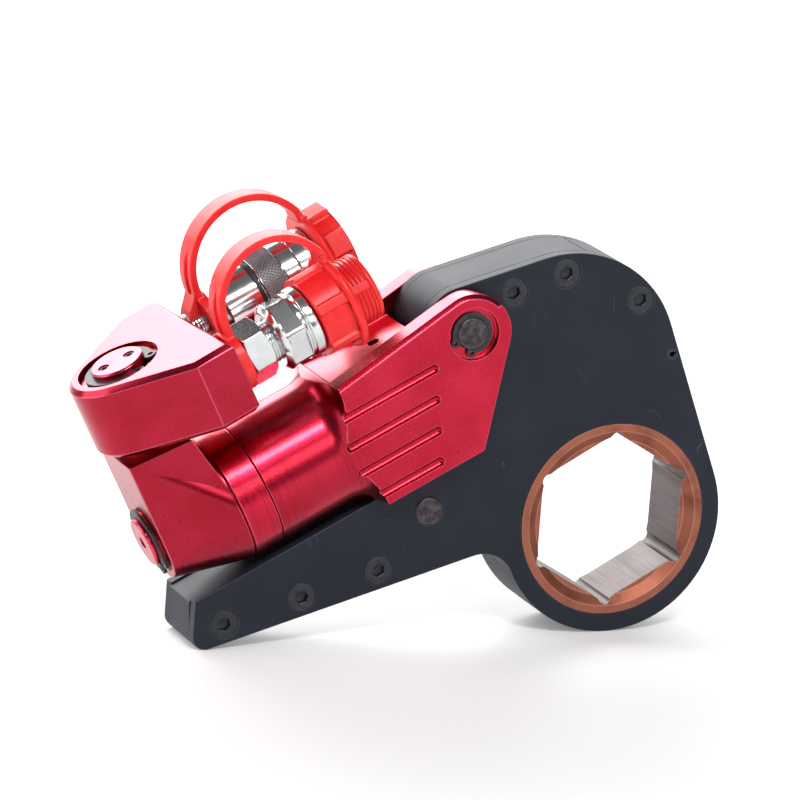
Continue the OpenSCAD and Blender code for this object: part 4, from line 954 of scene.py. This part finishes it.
# ring ridges: the near cap's thread and the nipples' threads
ridgeSpec = {
    "capThread": {"side": -1, "from": 86.1, "radius": 13.2, "pitch": 1.75, "count": 5, "ridge": 0.62,
    "finish": "capVinyl", "body": "cap_a"},
    "nippleThread.near": {"side": -1, "from": 49.3, "radius": 8.4, "pitch": 1.05, "count": 3, "ridge": 0.42,
    "finish": "brightPlated", "body": "upper_swivel"},
    "neckThread.far": {"side": 1, "from": 34.9, "radius": 6.1, "pitch": 1.3, "count": 7, "ridge": 0.5,
    "finish": "brightPlated", "body": "upper_swivel"},
    "nippleThread.far": {"side": 1, "from": 49.5, "radius": 8.4, "pitch": 1.05, "count": 3, "ridge": 0.42,
    "finish": "brightPlated", "body": "upper_swivel"},
}


def ridgeTree():
    tree, start, finish = growTree("ridgeRow", [
        ("Radius", "Float"), ("Pitch", "Float"), ("Count", "Int"), ("Ridge", "Float"), ("Finish", "Material")])
    step = addNode(tree, "ShaderNodeCombineXYZ", {}, {0: start.outputs["Pitch"]})
    row = addNode(tree, "GeometryNodeMeshLine", {}, {"Count": start.outputs["Count"],
            "Offset": step.outputs[0]})
    loop = addNode(tree, "GeometryNodeCurvePrimitiveCircle", {},
            {"Resolution": 96, "Radius": start.outputs["Radius"]})
    section = addNode(tree, "GeometryNodeCurvePrimitiveCircle", {},
            {"Resolution": 8, "Radius": start.outputs["Ridge"]})
    ring = addNode(tree, "GeometryNodeCurveToMesh", {}, {0: loop.outputs[0], 1: section.outputs[0]})
    stood = addNode(tree, "GeometryNodeTransform", {}, {"Geometry": ring.outputs[0], "Rotation": (0.0,
            math.pi / 2, 0.0)})
    copies = addNode(tree, "GeometryNodeInstanceOnPoints", {},
            {"Points": row.outputs[0], "Instance": stood.outputs[0]})
    closeTree(tree, start, finish, copies.outputs[0])
    return tree


def makeRidges():
    tree = ridgeTree()
    for name, spec in ridgeSpec.items():
        piece = grow(name, tree, {"Radius": spec["radius"], "Pitch": spec["pitch"], "Count": spec["count"],
                "Ridge": spec["ridge"],
                                  "Finish": finishes[spec["finish"]]}, bpy.data.meshes.new("ridgeHost"))
        piece.data.transform(portToRow(spec["side"]) @ Matrix.Translation((spec["from"], 0, 0)))
        hand(piece, spec["finish"], spec["body"])
    print("ridges made:", len(ridgeSpec))


capTrim = {"lipFrom": 93.6, "lipTo": 96.0, "lipRadius": 13.75, "barFrom": 85.2, "barTo": 93.4, "barWidth": 3.4,
        "barRadius": 13.95, "barTurn": 67.0,
           "inner": 12.2, "barDeep": 2.0, "bars": 3, "ease": 0.35}


def makeCapTrim():
    # smooth lip at the end of the near cap's thread, and the flat bars that cross it
    t = capTrim
    bm = bmesh.new()
    low, high, outer, inner = t["lipFrom"], t["lipTo"], t["lipRadius"], t["inner"]
    lathe(bm, [(low, inner), (low, outer - 0.5), (low + 0.4, outer), (high - 1.0, outer),
            (high - 0.3, outer - 0.35),
               (high, outer - 1.0), (high + 0.02, inner), (low, inner)])
    bmesh.ops.remove_doubles(bm, verts=bm.verts, dist=buildSpec["mergeTurned"])
    for k in range(t["bars"]):
        turn = Matrix.Rotation(math.radians(t["barTurn"] + 360 / t["bars"] * k), 4, "X")
        box = bmesh.ops.create_cube(bm, size=1.0)["verts"]
        size = Matrix.Diagonal((t["barTo"] - t["barFrom"], t["barWidth"], t["barDeep"], 1.0))
        where = Matrix.Translation(((t["barFrom"] + t["barTo"]) / 2, 0, t["barRadius"] - t["barDeep"] / 2))
        bmesh.ops.transform(bm, matrix=turn @ where @ size, verts=box)
        edges = list({e for v in box for e in v.link_edges})
        bmesh.ops.bevel(bm, geom=edges, offset=t["ease"], segments=2, profile=buildSpec["profile"],
                affect="EDGES", clamp_overlap=True)
    bmesh.ops.recalc_face_normals(bm, faces=bm.faces)
    bm.faces.layers.float.new("edge")
    bmesh.ops.transform(bm, matrix=portToRow(-1), verts=bm.verts)
    piece = settle("capThread.lip", bm, "capVinyl")
    hand(piece, "capVinyl", "cap_a")


# straps, each with the raised rib up its leg
strapSpec = {
    "strap_a": {"side": -1, "leg": 35.7, "tab": 84.8, "rise": 40.1, "foot": 21.75, "body": "cap_a",
    "gusset": []},
    "strap_b": {"side": 1, "leg": 44.4, "tab": 97.6, "rise": 40.1, "foot": 21.75, "body": "cap_b",
                "gusset": [(44.5, 13.6), (43.5, 12.0), (41.9, 10.0), (40.0, 7.8), (38.7, 5.5), (37.9, 3.0)]},
    "ribWidth": 3.6, "ribRise": 0.9, "ribFrom": 12.8, "ribTurn": 38.0, "width": 0.6, "gussetHalf": 4.6,
    "sharp": 40.0, "legSteps": 6, "arcSteps": 12, "fadeTop": 0.25, "fadeFoot": 0.08, "sunk": 0.5, "ease": 0.35,
    "gussetIn": 0.6, "blendFrom": 4.0, "blendTo": 3.0, "blendUp": 20.0,
}


def makeStrap(node):
    spec = strapSpec[node]
    top = spec["rise"] - spec["foot"]
    span = spec["tab"] - spec["leg"]
    radius = span + top - math.sqrt(2 * span * top)
    middle = Vector((spec["leg"] + radius, spec["rise"] - radius))
    port = portToRow(spec["side"])
    bm = softened(node, strapSpec["width"], 2)
    rib = bmesh.new()
    path = []
    for i in range(strapSpec["legSteps"]):
        h = strapSpec["ribFrom"] + (middle.y - strapSpec["ribFrom"]) * i / strapSpec["legSteps"]
        if h < middle.y:
            path.append((Vector((spec["leg"], h)), Vector((-1.0, 0.0))))
    for i in range(strapSpec["arcSteps"] + 1):
        a = math.radians(180 - strapSpec["ribTurn"] * i / strapSpec["arcSteps"])
        out = Vector((math.cos(a), math.sin(a)))
        path.append((middle + radius * out, out))
    half = strapSpec["ribWidth"] / 2
    rows = []
    for i, (spot, out) in enumerate(path):
        share = i / (len(path) - 1)
        fade = min(1.0, (1.0 - share) / strapSpec["fadeTop"],
                share / strapSpec["fadeFoot"] + strapSpec["fadeTop"])
        rise = strapSpec["ribRise"] * fade
        shoulder = rise - strapSpec["ease"]
        row = []
        for v, lift in ((-half, -strapSpec["sunk"]), (-half + 0.1, shoulder), (-half + 0.5, rise),
                        (half - 0.5, rise), (half - 0.1, shoulder), (half, -strapSpec["sunk"])):
            p = spot + out * lift
            row.append(rib.verts.new((p.x, v, p.y)))
        rows.append(row)
    for low, high in zip(rows, rows[1:]):
        for k in range(len(low)):
            j = (k + 1) % len(low)
            rib.faces.new((low[k], low[j], high[j], high[k]))
    rib.faces.new(rows[0])
    rib.faces.new(rows[-1])
    bmesh.ops.recalc_face_normals(rib, faces=rib.faces)
    bmesh.ops.transform(rib, matrix=port, verts=rib.verts)
    inner = spec["leg"] + strapSpec["gussetIn"]
    for low, high in zip(spec["gusset"], spec["gusset"][1:]):
        block = [bm.verts.new(port @ Vector((u, v, h))) for v in (-strapSpec["gussetHalf"],
                strapSpec["gussetHalf"])
                 for u, h in (low, high, (inner, high[1]), (inner, low[1]))]
        for ids in ((0, 1, 2, 3), (7, 6, 5, 4), (0, 4, 5, 1), (1, 5, 6, 2), (2, 6, 7, 3), (3, 7, 4, 0)):
            bm.faces.new([block[i] for i in ids])
    loose = meshOf("ribMesh", rib)
    bm.from_mesh(loose)
    bpy.data.meshes.remove(loose)
    piece = settle(node.replace("_", "-") + ".moulded", bm, "capVinyl", strapSpec["sharp"])
    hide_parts(node)
    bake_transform(piece)


makeTailBlock()
makePawlSprings()
makeLowerSwivel()
makeUpperSwivel()
makePostRing()
makeFarNipple()
makeScrews()
makeSleeve()
makeRidges()
makeCapTrim()
for node in ("strap_a", "strap_b"):
    makeStrap(node)
print("straps made")


# floor
def makeFloor():
    finish = Finish("paleFloor", {"Metallic": 0.0, "Emission Color": rgb(1.0, 1.0, 1.0),
            "Emission Strength": roomSpec["floorGlow"]})
    spread = finish.add("ShaderNodeTexCoord", out=3)
    mottle = finish.noise(spread, *roomSpec["mottle"])
    finish.feed("Base Color", finish.mix(mottle, rgb(0.86, 0.86, 0.865), rgb(0.885, 0.885, 0.89)))
    finish.feed("Roughness", roomSpec["rough"] + mottle * 0.1)
    bm = bmesh.new()
    far = roomSpec["floorHalf"]
    corners = [bm.verts.new((x, y, roomSpec["floorZ"]))
               for x, y in ((-far, -far), (far, -far), (far, far), (-far, far))]
    bm.faces.new(corners)
    floor = show("floor", meshOf("floor", bm))
    floor.data.materials.append(finish.material)


setCamera()
setStudio()
makeFloor()
print("studio set")
